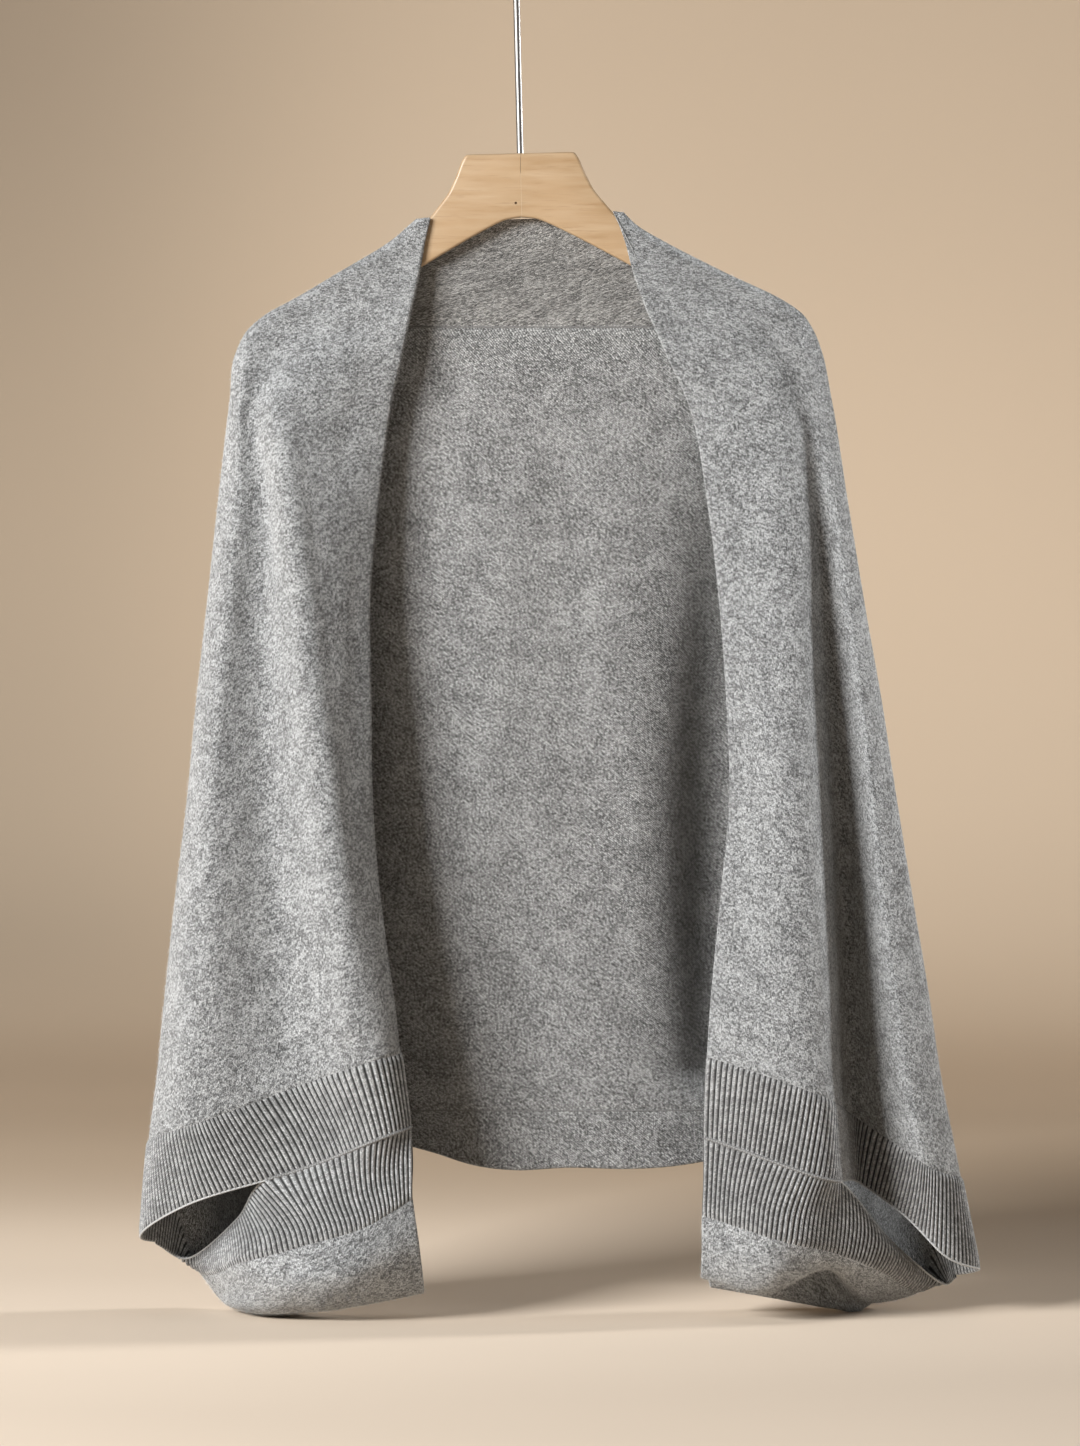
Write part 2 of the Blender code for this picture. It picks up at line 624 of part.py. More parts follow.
def main():
    clear_scene()
    knit = material("grey marl knit", (0.32, 0.315, 0.305), 0.95)
    rib = material("grey marl rib", (0.30, 0.295, 0.285), 0.95)
    wood = material("pale lacquered wood", (0.62, 0.44, 0.27), 0.45)
    steel = material("polished steel", (0.72, 0.71, 0.69), 0.25, 1.0)

    lean = bpy.data.objects.new("hanger_lean", None)
    bpy.context.collection.objects.link(lean)
    lean.rotation_euler.y = -math.radians(HANGER_LEAN)
    make_hook(steel, lean)
    hole = make_hole(lean, wood)
    for side in ("left", "right"):
        make_arm(side, wood, lean, hole)
        make_front(side, knit)
        make_upper_cuff(side, rib)
        make_lower_cuff(side, rib)
        make_under(side, knit)
    make_yoke(knit)
    make_back(knit)
    make_hem(knit)


main()
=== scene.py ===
import math

import bmesh
import bpy
import numpy as np
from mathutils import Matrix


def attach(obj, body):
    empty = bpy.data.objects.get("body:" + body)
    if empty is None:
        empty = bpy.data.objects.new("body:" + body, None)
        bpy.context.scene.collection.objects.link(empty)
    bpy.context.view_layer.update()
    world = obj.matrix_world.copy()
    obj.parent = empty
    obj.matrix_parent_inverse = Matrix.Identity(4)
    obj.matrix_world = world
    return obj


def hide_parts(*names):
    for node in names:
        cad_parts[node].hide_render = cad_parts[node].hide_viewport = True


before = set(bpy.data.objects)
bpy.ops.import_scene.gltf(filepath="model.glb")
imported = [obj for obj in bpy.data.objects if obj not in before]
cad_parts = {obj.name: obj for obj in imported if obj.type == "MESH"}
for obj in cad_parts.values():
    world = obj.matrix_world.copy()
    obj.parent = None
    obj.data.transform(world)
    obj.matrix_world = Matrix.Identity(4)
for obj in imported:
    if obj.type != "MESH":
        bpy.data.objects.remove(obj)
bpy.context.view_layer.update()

# Blender's own calls take metres, and the tables here give millimetres.
MM = 0.001

# The view
# A long lens eight metres in front, level with the middle of the garment.
VIEW_PLACE = (0.0194, -8.03, -0.6105)
VIEW_TALL = 1.099
VIEW_AWAY = 8.0
SENSOR = 36.0


def put(name, data):
    """A new object in the scene."""
    made = bpy.data.objects.new(name, data)
    bpy.context.scene.collection.objects.link(made)
    return made


lens = bpy.data.cameras.new("view")
lens.sensor_fit = "VERTICAL"
lens.sensor_height = SENSOR
lens.lens = SENSOR * VIEW_AWAY / VIEW_TALL
lens.clip_end = 30.0
view = put("view", lens)
view.location = VIEW_PLACE
view.rotation_euler = (math.radians(90), 0, 0)
bpy.context.scene.camera = view

# The steel hook
# One length of 5 mm steel wire, bent to a round hook and pushed down into the hole at
# the top of the wood. It is polished, with fine drawing lines along the wire.
HANGER_LEAN = 1.4
WOOD_TOP_DROP = 176.0
HOOK_WIRE = 5.0
HOOK_RADIUS = 18.0
HOOK_TIP_ANGLE = 205.0
HOOK_NECK_ANGLE = -48.0
HOOK_NECK_DROP = 56.0
HOOK_DEPTH_IN_WOOD = 15.0
HOOK_POINTS = 64


class Value:
    """A number or a colour inside a material. Arithmetic on it adds the nodes for it."""

    def __init__(self, finish, socket):
        self.finish = finish
        self.socket = socket

    def __add__(self, other):
        return self.finish.maths("ADD", self, other)

    def __sub__(self, other):
        return self.finish.maths("SUBTRACT", self, other)

    def __mul__(self, other):
        return self.finish.maths("MULTIPLY", self, other)

    def __truediv__(self, other):
        return self.finish.maths("DIVIDE", self, other)

    def __abs__(self):
        return self.finish.maths("ABSOLUTE", self)


class Finish:
    """A material in the making. Each call adds one node and gives what comes out."""

    def __init__(self, name, roughness, metallic=0.0):
        self.material = bpy.data.materials.new(name)
        self.material.use_nodes = True
        self.tree = self.material.node_tree
        self.shader = self.tree.nodes["Principled BSDF"]
        self.set("Roughness", roughness)
        self.set("Metallic", metallic)

    def feed(self, socket, value):
        if isinstance(value, Value):
            self.tree.links.new(value.socket, socket)
        elif socket.type == "RGBA":
            socket.default_value = (*value, 1.0)
        else:
            socket.default_value = value

    def set(self, name, value):
        self.feed(self.shader.inputs[name], value)

    def node(self, kind, *values, out=0, **settings):
        """A node with these settings, which takes the values in the order of its inputs."""
        made = self.tree.nodes.new(kind)
        for key, value in settings.items():
            setattr(made, key, value)
        for socket, value in zip(made.inputs, values):
            self.feed(socket, value)
        return Value(self, made.outputs[out])

    def maths(self, how, *values):
        return self.node("ShaderNodeMath", *values, operation=how)

    def parts(self, vector):
        made = self.node("ShaderNodeSeparateXYZ", vector)
        return [Value(self, socket) for socket in made.socket.node.outputs]

    def joined(self, x, y, z=0.0):
        return self.node("ShaderNodeCombineXYZ", x, y, z)

    def noise(self, vector, scale, detail=2.0, rough=0.5):
        return self.node("ShaderNodeTexNoise", vector, 0.0, scale, detail, rough)

    def chance(self, vector):
        """A number from 0 to 1 that stays the same within each whole step."""
        return self.node("ShaderNodeTexWhiteNoise", vector, noise_dimensions="3D")

    def spread(self, value, low, high, start=0.0, end=1.0):
        """A value between low and high, stretched to run from start to end."""
        return self.node("ShaderNodeMapRange", value, low, high, start, end,
                         interpolation_type="SMOOTHSTEP")

    def between(self, share, first, second, how="MIX"):
        made = self.node("ShaderNodeMix", share, out=2, data_type="RGBA", blend_type=how)
        self.feed(made.socket.node.inputs[6], first)
        self.feed(made.socket.node.inputs[7], second)
        return made

    def shades(self, value, stops):
        """Colours along a value, from (place, colour) pairs."""
        made = self.node("ShaderNodeValToRGB", value)
        line = made.socket.node.color_ramp.elements
        while len(line) < len(stops):
            line.new(0.5)
        for stop, (place, colour) in zip(line, stops):
            stop.position = place
            stop.color = (*colour, 1.0)
        return made

    def relief(self, height, distance):
        made = self.node("ShaderNodeBump")
        self.feed(made.socket.node.inputs["Distance"], distance)
        self.feed(made.socket.node.inputs["Height"], height)
        self.set("Normal", made)

    def place(self):
        return self.node("ShaderNodeTexCoord", out="Object")

    def knit_place(self):
        return self.parts(self.node("ShaderNodeUVMap", uv_map="knit"))


def new_piece(name, mesh, finishes, node=None):
    """A new object that rides with the one body. The solid that it stands for is hidden."""
    made = put(name, mesh)
    for finish in finishes:
        mesh.materials.append(finish)
    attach(made, "root")
    if node:
        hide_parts(node)
    return made


def hermite(start, end, slope_start, slope_end, part):
    square = part * part
    cube = square * part
    return ((2 * cube - 3 * square + 1) * start + (cube - 2 * square + part) * slope_start
            + (3 * square - 2 * cube) * end + (cube - square) * slope_end)


def leaned(points):
    """Points of the hanger, turned with it about the hook's seat."""
    turn = math.radians(HANGER_LEAN)
    points = np.asarray(points, float)
    out = points.copy()
    out[:, 0] = points[:, 0] * math.cos(turn) - points[:, 2] * math.sin(turn)
    out[:, 2] = points[:, 0] * math.sin(turn) + points[:, 2] * math.cos(turn)
    return out


def unit(vectors):
    return vectors / np.linalg.norm(vectors, axis=-1, keepdims=True)


def run_of(grid, axis):
    """How far along each row or column of a grid each point is, in millimetres."""
    steps = np.linalg.norm(np.diff(grid, axis=axis), axis=-1)
    start = np.zeros_like(np.take(steps, [0], axis=axis))
    return np.concatenate((start, np.cumsum(steps, axis=axis)), axis=axis)


def tube_mesh(name, points, radii, sides, stitch=0.0, swell=0.16):
    """A round tube along a line of points. A stitch length gives it the small swells
    of a chain of loops."""
    count = len(points)
    run = run_of(points, 0)
    radii = np.ones(count) * radii
    if stitch:
        radii *= 1 + swell * np.sin(2 * math.pi * run / stitch)
    along = unit(np.gradient(points, axis=0))
    # Any fixed direction does here, so long as no tube runs along it.
    side = unit(np.cross(along, (0.31, 0.94, 0.17)))
    lift = np.cross(along, side)
    turns = np.linspace(0, 2 * math.pi, sides, endpoint=False)
    rings = (points[:, None, :]
             + side[:, None, :] * (np.cos(turns)[None, :, None] * radii[:, None, None])
             + lift[:, None, :] * (np.sin(turns)[None, :, None] * radii[:, None, None]))
    ring, turn = np.divmod(np.arange((count - 1) * sides), sides)
    here, after = ring * sides + turn, ring * sides + (turn + 1) % sides
    faces = np.column_stack((here, after, after + sides, here + sides)).tolist()
    faces.append(list(range(sides - 1, -1, -1)))
    faces.append(list(range((count - 1) * sides, count * sides)))
    mesh = bpy.data.meshes.new(name)
    mesh.from_pydata((rings.reshape(-1, 3) * MM).tolist(), [], faces)
    index = np.array([loop.vertex_index for loop in mesh.loops])
    wound = np.column_stack((index % sides / sides * 4.0, run[index // sides]))
    mesh.uv_layers.new(name="knit").data.foreach_set("uv", wound.ravel())
    mesh.shade_smooth()
    return mesh


steel = Finish("drawn steel", 0.2, 1.0)
steel_x, steel_y, steel_z = steel.parts(steel.place())
drawn = steel.noise(steel.joined(steel_x, steel_y, steel_z * 0.02), 2200.0)
steel.set("Base Color", steel.shades(drawn, ((0.3, (0.25, 0.245, 0.235)),
                                             (0.7, (0.36, 0.355, 0.345)))))
steel.set("Roughness", steel.spread(drawn, 0.3, 0.7, 0.34, 0.46))
steel.relief(drawn, 0.00002)

hook_angles = np.radians(np.linspace(HOOK_TIP_ANGLE, HOOK_NECK_ANGLE, HOOK_POINTS))
hook_flat = np.zeros(HOOK_POINTS)
hook_loop = np.column_stack((np.cos(hook_angles), hook_flat, np.sin(hook_angles)))
hook_loop = hook_loop * HOOK_RADIUS + (0, 0, HOOK_WIRE / 2 - HOOK_RADIUS)
hook_reach = HOOK_NECK_DROP + hook_loop[-1, 2]
hook_last = hook_angles[-1]
hook_neck = hermite(hook_loop[-1], np.array((0.0, 0.0, -HOOK_NECK_DROP)),
                    np.array((math.sin(hook_last), 0, -math.cos(hook_last))) * hook_reach,
                    np.array((0.0, 0.0, -1.0)) * hook_reach,
                    np.linspace(0, 1, 17)[1:, None])
hook_stem = [(0, 0, -drop) for drop in
             np.linspace(HOOK_NECK_DROP, WOOD_TOP_DROP + HOOK_DEPTH_IN_WOOD, 16)[1:]]
hook_route = leaned(np.concatenate((hook_loop, hook_neck, hook_stem)))
hook_sizes = np.full(len(hook_route), HOOK_WIRE / 2)
# The tip of the wire is rounded off.
hook_sizes[:2] *= (0.72, 0.95)
new_piece("hook_wire", tube_mesh("hook_wire", hook_route, hook_sizes, 24),
          [steel.material], "hook")

# The wooden hanger
# Two shaped halves of a 10 mm pale board, glued edge to edge at the middle with the
# hook's hole drilled down the joint. The rims are rounded and the wood has a thin
# satin lacquer.
WOOD_THICKNESS = 10.0
WOOD_ROUNDING = 2.2
JOINT_GAP = 0.22
HOOK_HOLE = 6.2
HOOK_HOLE_DEPTH = 12.0
# A small pin hole shows in the front, a little left of the joint.
PIN_HOLE = 1.8
PIN_PLACE = (-4.3, 214.0)
PIN_DEPTH = 3.0
WOOD_TOP = ((0, 176), (20, 176), (38, 176), (42, 177.2), (45, 182), (49.5, 193), (55.5, 205),
            (63, 214.8), (71, 224.4), (80, 232), (101, 246.4), (127, 261.8), (152, 276.2),
            (179, 291), (190, 297))
WOOD_BOTTOM = ((197, 304), (198.5, 312), (194, 320), (184, 322), (160, 308.5), (120, 285.5),
               (80, 262.4), (51, 246), (29, 234.2), (13, 226.8), (0, 224.8))

wood = Finish("pale lacquered wood", 0.42)
wood_x, wood_y, wood_z = wood.parts(wood.place())
wood_grain = wood.noise(wood.joined(wood_x * 0.10, wood_y, wood_z), 190.0, 4.0, 0.55)
wood_pores = wood.noise(wood.joined(wood_x * 0.05, wood_y, wood_z), 900.0)
wood_cloud = wood.noise(wood.place(), 22.0)
wood_tone = wood.shades(wood_grain, ((0.30, (0.34, 0.220, 0.115)), (0.52, (0.385, 0.265, 0.152)),
                                     (0.72, (0.42, 0.302, 0.184))))
wood_tone = wood.between(wood.spread(wood_cloud, 0.35, 0.65, 0.0, 0.5), wood_tone,
                         (0.41, 0.284, 0.166))
wood_tone = wood.between(wood.spread(wood_pores, 0.60, 0.72, 0.0, 0.35), wood_tone,
                         (0.25, 0.150, 0.074))
wood.set("Base Color", wood_tone)
wood.set("Roughness", wood.spread(wood_grain, 0.3, 0.7, 0.38, 0.5))
wood.set("Coat Weight", 0.25)
wood.set("Coat Roughness", 0.25)
wood.relief(wood_pores, 0.00006)


def rounded_outline(points, steps):
    """A smooth line through corner points, with a number of steps between each two."""
    points = np.asarray(points, float)
    slopes = np.gradient(points, axis=0)
    slopes[0] = points[1] - points[0]
    slopes[-1] = points[-1] - points[-2]
    line = []
    for one in range(len(points) - 1):
        for part in np.arange(steps) / steps:
            line.append(hermite(points[one], points[one + 1], slopes[one] * 0.9,
                                slopes[one + 1] * 0.9, part))
    line.append(points[-1])
    return np.array(line)


def drilled(block, across, deep, place, tilt=0.0):
    """Cuts a round hole in a block: how wide and deep, where its middle is, and how far
    it is tilted about X."""
    shape = bmesh.new()
    bmesh.ops.create_cone(shape, cap_ends=True, segments=32, radius1=across / 2 * MM,
                          radius2=across / 2 * MM, depth=deep * MM)
    mesh = bpy.data.meshes.new("drill")
    shape.to_mesh(mesh)
    shape.free()
    drill = put("drill", mesh)
    drill.location = [value * MM for value in place]
    drill.rotation_euler = (tilt, 0, 0)
    cut = block.modifiers.new("hole", "BOOLEAN")
    cut.operation = "DIFFERENCE"
    cut.solver = "EXACT"
    cut.object = drill
    bpy.context.view_layer.update()
    seen = block.evaluated_get(bpy.context.evaluated_depsgraph_get())
    block.data = bpy.data.meshes.new_from_object(seen)
    block.modifiers.clear()
    bpy.data.objects.remove(drill)


def hanger_half(side):
    """One half of the hanger, with the half hole for the hook down its joint."""
    name = "wood_" + side
    turn = -1 if side == "left" else 1
    outline = rounded_outline(WOOD_TOP + WOOD_BOTTOM, 5)
    outline[0, 0] = outline[-1, 0] = JOINT_GAP / 2
    shape = bmesh.new()
    front = [shape.verts.new((turn * out * MM, -WOOD_THICKNESS / 2 * MM, -drop * MM))
             for out, drop in outline]
    face = shape.faces.new(front)
    spun = bmesh.ops.extrude_face_region(shape, geom=[face])
    moved = [part for part in spun["geom"] if isinstance(part, bmesh.types.BMVert)]
    bmesh.ops.translate(shape, verts=moved, vec=(0, WOOD_THICKNESS * MM, 0))
    bmesh.ops.recalc_face_normals(shape, faces=shape.faces)
    rims = []
    for edge in shape.edges:
        first, last = (corner.co for corner in edge.verts)
        along_outline = abs(first.y - last.y) < MM
        at_joint = abs(first.x) < MM and abs(last.x) < MM
        if along_outline and not at_joint:
            rims.append(edge)
    bmesh.ops.bevel(shape, geom=rims, offset=WOOD_ROUNDING * MM, segments=5, profile=0.5,
                    affect="EDGES")
    mesh = bpy.data.meshes.new(name)
    shape.to_mesh(mesh)
    shape.free()
    block = put("block", mesh)
    drilled(block, HOOK_HOLE, 2 * HOOK_HOLE_DEPTH, (0, 0, -WOOD_TOP_DROP))
    if side == "left":
        drilled(block, PIN_HOLE, 2 * PIN_DEPTH, (PIN_PLACE[0], -WOOD_THICKNESS / 2, -PIN_PLACE[1]),
                math.radians(90))
    half = block.data
    bpy.data.objects.remove(block)
    places = np.zeros(len(half.vertices) * 3)
    half.vertices.foreach_get("co", places)
    half.vertices.foreach_set("co", leaned(places.reshape(-1, 3)).ravel())
    half.materials.clear()
    half.name = name
    half.shade_smooth()
    half.set_sharp_from_angle(angle=math.radians(35))
    return new_piece(name, half, [wood.material], "hanger_" + side)


arms = {side: hanger_half(side) for side in ("left", "right")}

# The two fronts
# Each front is one panel of soft grey marl, knitted plain side out, that runs from the
# open edge over the shoulder and round the side fold to a seam behind it. It hangs
# from the wooden arm in two deep folds, and its open edge is turned in.
CLOTH = 1.9
# Each piece is cut from its own patch of one endless knit, and the patches lie this far
# apart, so that no two pieces show the same loops.
KNIT_APART = 5000
LEFT_FOLD, MIDDLE, RIGHT_FOLD, RIGHT_EDGE = 4, 7, 10, 14
SIDE_SEAM = 4.3
YOKE_DROP = 308.0
HEM_SEAM_DROP = 907.0

# A level section of a front in each row: drop, then out and depth of the open edge, the
# inner ridge, the valley and the outer ridge, and how far out the side fold is.
LEFT_FRONT = (
    (226, 64, 8.8, 67.0, 8.8, 70, 8.4, 73, 6.0, 75),
    (243, 68, 9.6, 74.0, 9.4, 80, 9.2, 88, 7.6, 95),
    (266, 72, 11, 90, 10, 108, 9.4, 125, 8.0, 133),
    (289, 77, 14, 107, 11, 137, 9.6, 163, 8.2, 172),
    (297, 79, 16, 113, 12, 145, 10, 177, 8.6, 187),
    (308, 81, 18, 120, 13, 157, 10.8, 190, 9.4, 201),
    (327, 84, 17, 140, 20, 178, 14.5, 202, 14, 212),
    (365, 92, 12, 168, 35, 196, 21.5, 209, 21, 217),
    (441, 102, 14, 165, 49, 190, 27.5, 213, 29, 226),
    (517, 108, 21, 160, 57, 190, 29, 219, 36, 234),
    (593, 107, 30, 154, 63, 189, 33, 226, 43, 242),
    (669, 106, 38, 145, 68, 186, 37, 231, 49, 249),
    (745, 100, 46, 134, 73, 182, 41, 235, 54, 258),
    (821, 90, 53, 121, 77, 176, 44, 240, 57, 266),
    (882, 82, 56, 111, 78, 168, 48, 243, 58, 272),
    (927, 77, 58, 105, 77, 160, 53, 244, 57, 278),
    (1005, 77, 60, 104, 78, 160, 57, 246, 50, 285),
)
RIGHT_FRONT = (
    (221, 75, 8.8, 77, 8.8, 79, 8.2, 81.5, 5.6, 83),
    (232, 80, 9.3, 84, 9.2, 87, 8.8, 91, 7.0, 95),
    (243, 84, 9.8, 92, 9.4, 99, 9.2, 107, 7.8, 114),
    (266, 90, 12, 109, 10.5, 129, 9.4, 150, 8.0, 159),
    (289, 98, 14, 127, 12, 161, 10, 196, 8.4, 206),
    (297, 101, 15, 135, 13, 171, 11, 206, 8.9, 218),
    (308, 106, 16, 146, 14, 183, 12, 214, 9.4, 226),
    (327, 114, 18, 168, 17, 203, 13, 221, 12, 234),
    (365, 131, 19, 193, 23, 220, 15, 232, 14, 242),
    (441, 146, 23.5, 207, 37, 230, 17, 246, 21, 253),
    (517, 155, 31, 212, 50, 236, 15, 256, 28, 265),
    (593, 160, 41, 215, 62, 242, 12, 266, 34, 278),
    (669, 162, 49, 219, 73, 247, 9, 274, 40, 289),
    (745, 155, 56, 223, 82, 251, 6, 282, 46, 301),
    (821, 148, 61, 227, 88, 254, 4, 291, 49, 314),
    (882, 144, 63, 229, 90, 256, 4, 301, 48, 323),
    (927, 143, 64, 231, 91, 261, 6, 309, 47, 332),
    (1032, 143, 65, 236, 90, 275, 12, 326, 38, 353),
)
# The back in the same way: out and depth of the left ridge and bend, the depth at the
# middle, and out and depth of the right bend and ridge.
BACK = (
    (221, 64, 7.8, 38, 9.4, 10.2, 42, 9.4, 75, 7.6),
    (243, 87, 8.0, 52, 9.8, 10.8, 60, 9.8, 105, 8.2),
    (266, 124, 8.2, 70, 10.4, 11.6, 80, 10.4, 149, 8.4),
    (289, 161, 8.6, 92, 11, 12.6, 102, 11, 195, 8.8),
    (308, 189, 9.8, 104, 12, 13.6, 116, 12, 213, 10),
    (327, 198, 13, 106, 13, 14.2, 118, 13, 220, 13),
    (365, 200, 20, 106, 15, 15, 118, 15, 224, 21),
    (441, 203, 30, 106, 18, 16, 115, 17, 224, 34),
    (593, 206, 44, 106, 22.5, 18, 108, 20, 222, 54),
    (745, 208, 54, 106, 27, 21.5, 108, 24.5, 230, 66),
    (907, 212, 60, 106, 30, 25, 121, 29, 254, 67),
    (1032, 222, 58, 106, 34, 29, 124, 34, 268, 66),
)
# Where the rib band starts and ends on each front: place, drop of its top and edge.
LEFT_BAND = (
    (0.0, 860, 916),
    (1.0, 868, 926),
    (2.0, 887, 948),
    (3.0, 915, 974),
    (4.0, 929, 1003),
    (4.5, 932, 1008),
)
RIGHT_BAND = (
    (0.0, 863, 924),
    (1.0, 891, 954),
    (2.0, 910, 962),
    (2.5, 928, 982),
    (3.0, 946, 1011),
    (4.0, 957, 1028),
    (4.5, 960, 1034),
)
FRONTS = {"left": LEFT_FRONT, "right": RIGHT_FRONT}
BANDS = {"left": LEFT_BAND, "right": RIGHT_BAND}
# The smaller creases of the fronts, as soft lines in the view from the front. Columns:
# out and drop of one end, out and drop of the other, width, height (minus is a trough).
FRONT_CREASES = (
    (-181, 330, -150, 650, 11, 4.5),
    (-160, 540, -108, 930, 11, 4.2),
    (-96, 262, -196, 372, 13, 1.3),
    (-88, 300, -150, 455, 11, -1.3),
    (-168, 340, -182, 560, 12, 1.5),
    (-196, 430, -226, 740, 10, -1.2),
    (-112, 470, -128, 700, 9, -0.9),
    (-146, 560, -138, 860, 10, 1.0),
    (-186, 640, -176, 900, 9, -1.0),
    (-238, 690, -262, 915, 9, 1.1),
    (-98, 730, -84, 880, 8, 0.9),
    (-206, 300, -214, 400, 9, 1.0),
    (104, 262, 214, 345, 13, 1.3),
    (112, 320, 190, 470, 12, -1.1),
    (150, 360, 176, 620, 10, 1.1),
    (212, 350, 232, 540, 9, 1.3),
    (176, 560, 172, 850, 10, -1.1),
    (196, 600, 208, 890, 8, 1.2),
    (262, 440, 296, 780, 8, -0.9),
    (296, 640, 330, 930, 9, 1.0),
    (158, 800, 156, 900, 9, 1.0),
    (226, 760, 244, 930, 9, -1.2),
)
BACK_CREASES = (
    (-150, 340, -190, 620, 16, -1.8),
    (-52, 330, -74, 760, 20, 2.0),
    (-8, 380, -22, 880, 18, -1.8),
    (38, 340, 52, 800, 18, 1.9),
    (84, 420, 96, 890, 16, -1.7),
    (150, 330, 186, 640, 16, 1.8),
    (-112, 520, -118, 890, 14, 1.5),
    (156, 430, 166, 1060, 30, 22.0),
    (-196, 560, -206, 880, 12, -1.2),
    (214, 520, 232, 880, 12, 1.2),
    (-90, 262, 20, 292, 12, -0.8),
    (96, 262, -6, 296, 12, 0.8),
)
FRONT_COLUMNS = 104
FRONT_ROWS = 236
# The turned-in open edge: the columns of its roll, where those of its flap lie as shares
# of the flap, and how many columns of the front draw back to make room for the roll.
ROLL_COLUMNS = 8
FLAP_COLUMNS = (1.0, 0.8, 0.6, 0.4, 0.2)
ROOM_COLUMNS = 14
# How far the rim of a wall rounds out, as a share of its thickness.
RIM_BULGE = 0.42


def read_table(table, at):
    """Every column but the first of a table, read smoothly at values of the first."""
    table = np.asarray(table, float)
    knots, rows = table[:, 0], table[:, 1:]
    at = np.asarray(at, float)
    slopes = np.gradient(rows, knots, axis=0)
    low = np.clip(np.searchsorted(knots, at, side="right") - 1, 0, len(knots) - 2)
    span = (knots[low + 1] - knots[low])[:, None]
    part = (at - knots[low])[:, None] / span
    return hermite(rows[low], rows[low + 1], slopes[low] * span, slopes[low + 1] * span, part)


def along_controls(controls, place):
    """Points on the smooth line through each row of control points, at its own place."""
    slopes = np.empty_like(controls)
    slopes[:, 1:-1] = (controls[:, 2:] - controls[:, :-2]) / 2
    slopes[:, 0] = 1.5 * (controls[:, 1] - controls[:, 0]) - 0.5 * slopes[:, 1]
    slopes[:, -1] = 1.5 * (controls[:, -1] - controls[:, -2]) - 0.5 * slopes[:, -2]
    low = np.clip(np.floor(place).astype(int), 0, controls.shape[1] - 2)
    each = np.arange(len(place))
    part = (place - low)[:, None]
    return hermite(controls[each, low], controls[each, low + 1],
                   slopes[each, low], slopes[each, low + 1], part)


def spots(*values):
    """The values as arrays of one shape."""
    return np.broadcast_arrays(*(np.asarray(value, float) for value in values))


def wrap(place, drop):
    """Points on the outside of the whole garment, from the left open edge round the
    back to the right open edge, at a place counted in folds and at a drop."""
    place, drop = spots(place, drop)
    form = place.shape
    place, drop = place.ravel(), drop.ravel()
    left, right, back = (read_table(table, drop) for table in (LEFT_FRONT, RIGHT_FRONT, BACK))
    controls = np.zeros((len(drop), RIGHT_EDGE + 1, 2))
    for fold in range(LEFT_FOLD):
        out, deep = 2 * fold, 2 * fold + 1
        controls[:, fold] = -left[:, [out, deep]]
        controls[:, RIGHT_EDGE - fold, 0] = right[:, out]
        controls[:, RIGHT_EDGE - fold, 1] = -right[:, deep]
    controls[:, LEFT_FOLD, 0] = -left[:, 8]
    controls[:, RIGHT_FOLD, 0] = right[:, 8]
    controls[:, 5] = back[:, [0, 1]] * (-1, 1)
    controls[:, 6] = back[:, [2, 3]] * (-1, 1)
    controls[:, MIDDLE, 1] = back[:, 4]
    controls[:, 8] = back[:, [5, 6]]
    controls[:, 9] = back[:, [7, 8]]
    flat = along_controls(controls, place)
    return np.column_stack((flat, -drop)).reshape(*form, 3)


def facing(surface, first, second, turn=1):
    """The direction out of the cloth at each pair of places on a surface."""
    step = 1e-3
    along = surface(first + step, second) - surface(first - step, second)
    down = surface(first, second + step) - surface(first, second - step)
    return unit(turn * np.cross(along, down))


def eased(value, low, high):
    part = np.clip((value - low) / (high - low), 0, 1)
    return part * part * (3 - 2 * part)


def creased(points, normals, creases, share):
    """Moves points in or out along soft crease lines, by a share from 0 to 1."""
    lift = np.zeros(points.shape[:-1])
    across, drop = points[..., 0], -points[..., 2]
    for out_1, drop_1, out_2, drop_2, width, height in creases:
        run = np.array((out_2 - out_1, drop_2 - drop_1), float)
        reach = math.hypot(*run)
        run /= reach
        at = (across - out_1) * run[0] + (drop - drop_1) * run[1]
        off = (across - out_1) * run[1] - (drop - drop_1) * run[0]
        part = np.clip(at / reach, 0, 1)
        # No crease is quite straight.
        off = off + 3.0 * np.sin(part * 5.1 + out_1)
        lift += height * np.sin(math.pi * part) ** 0.8 * np.exp(-(off / width) ** 2)
    return points + normals * (lift * share)[..., None]


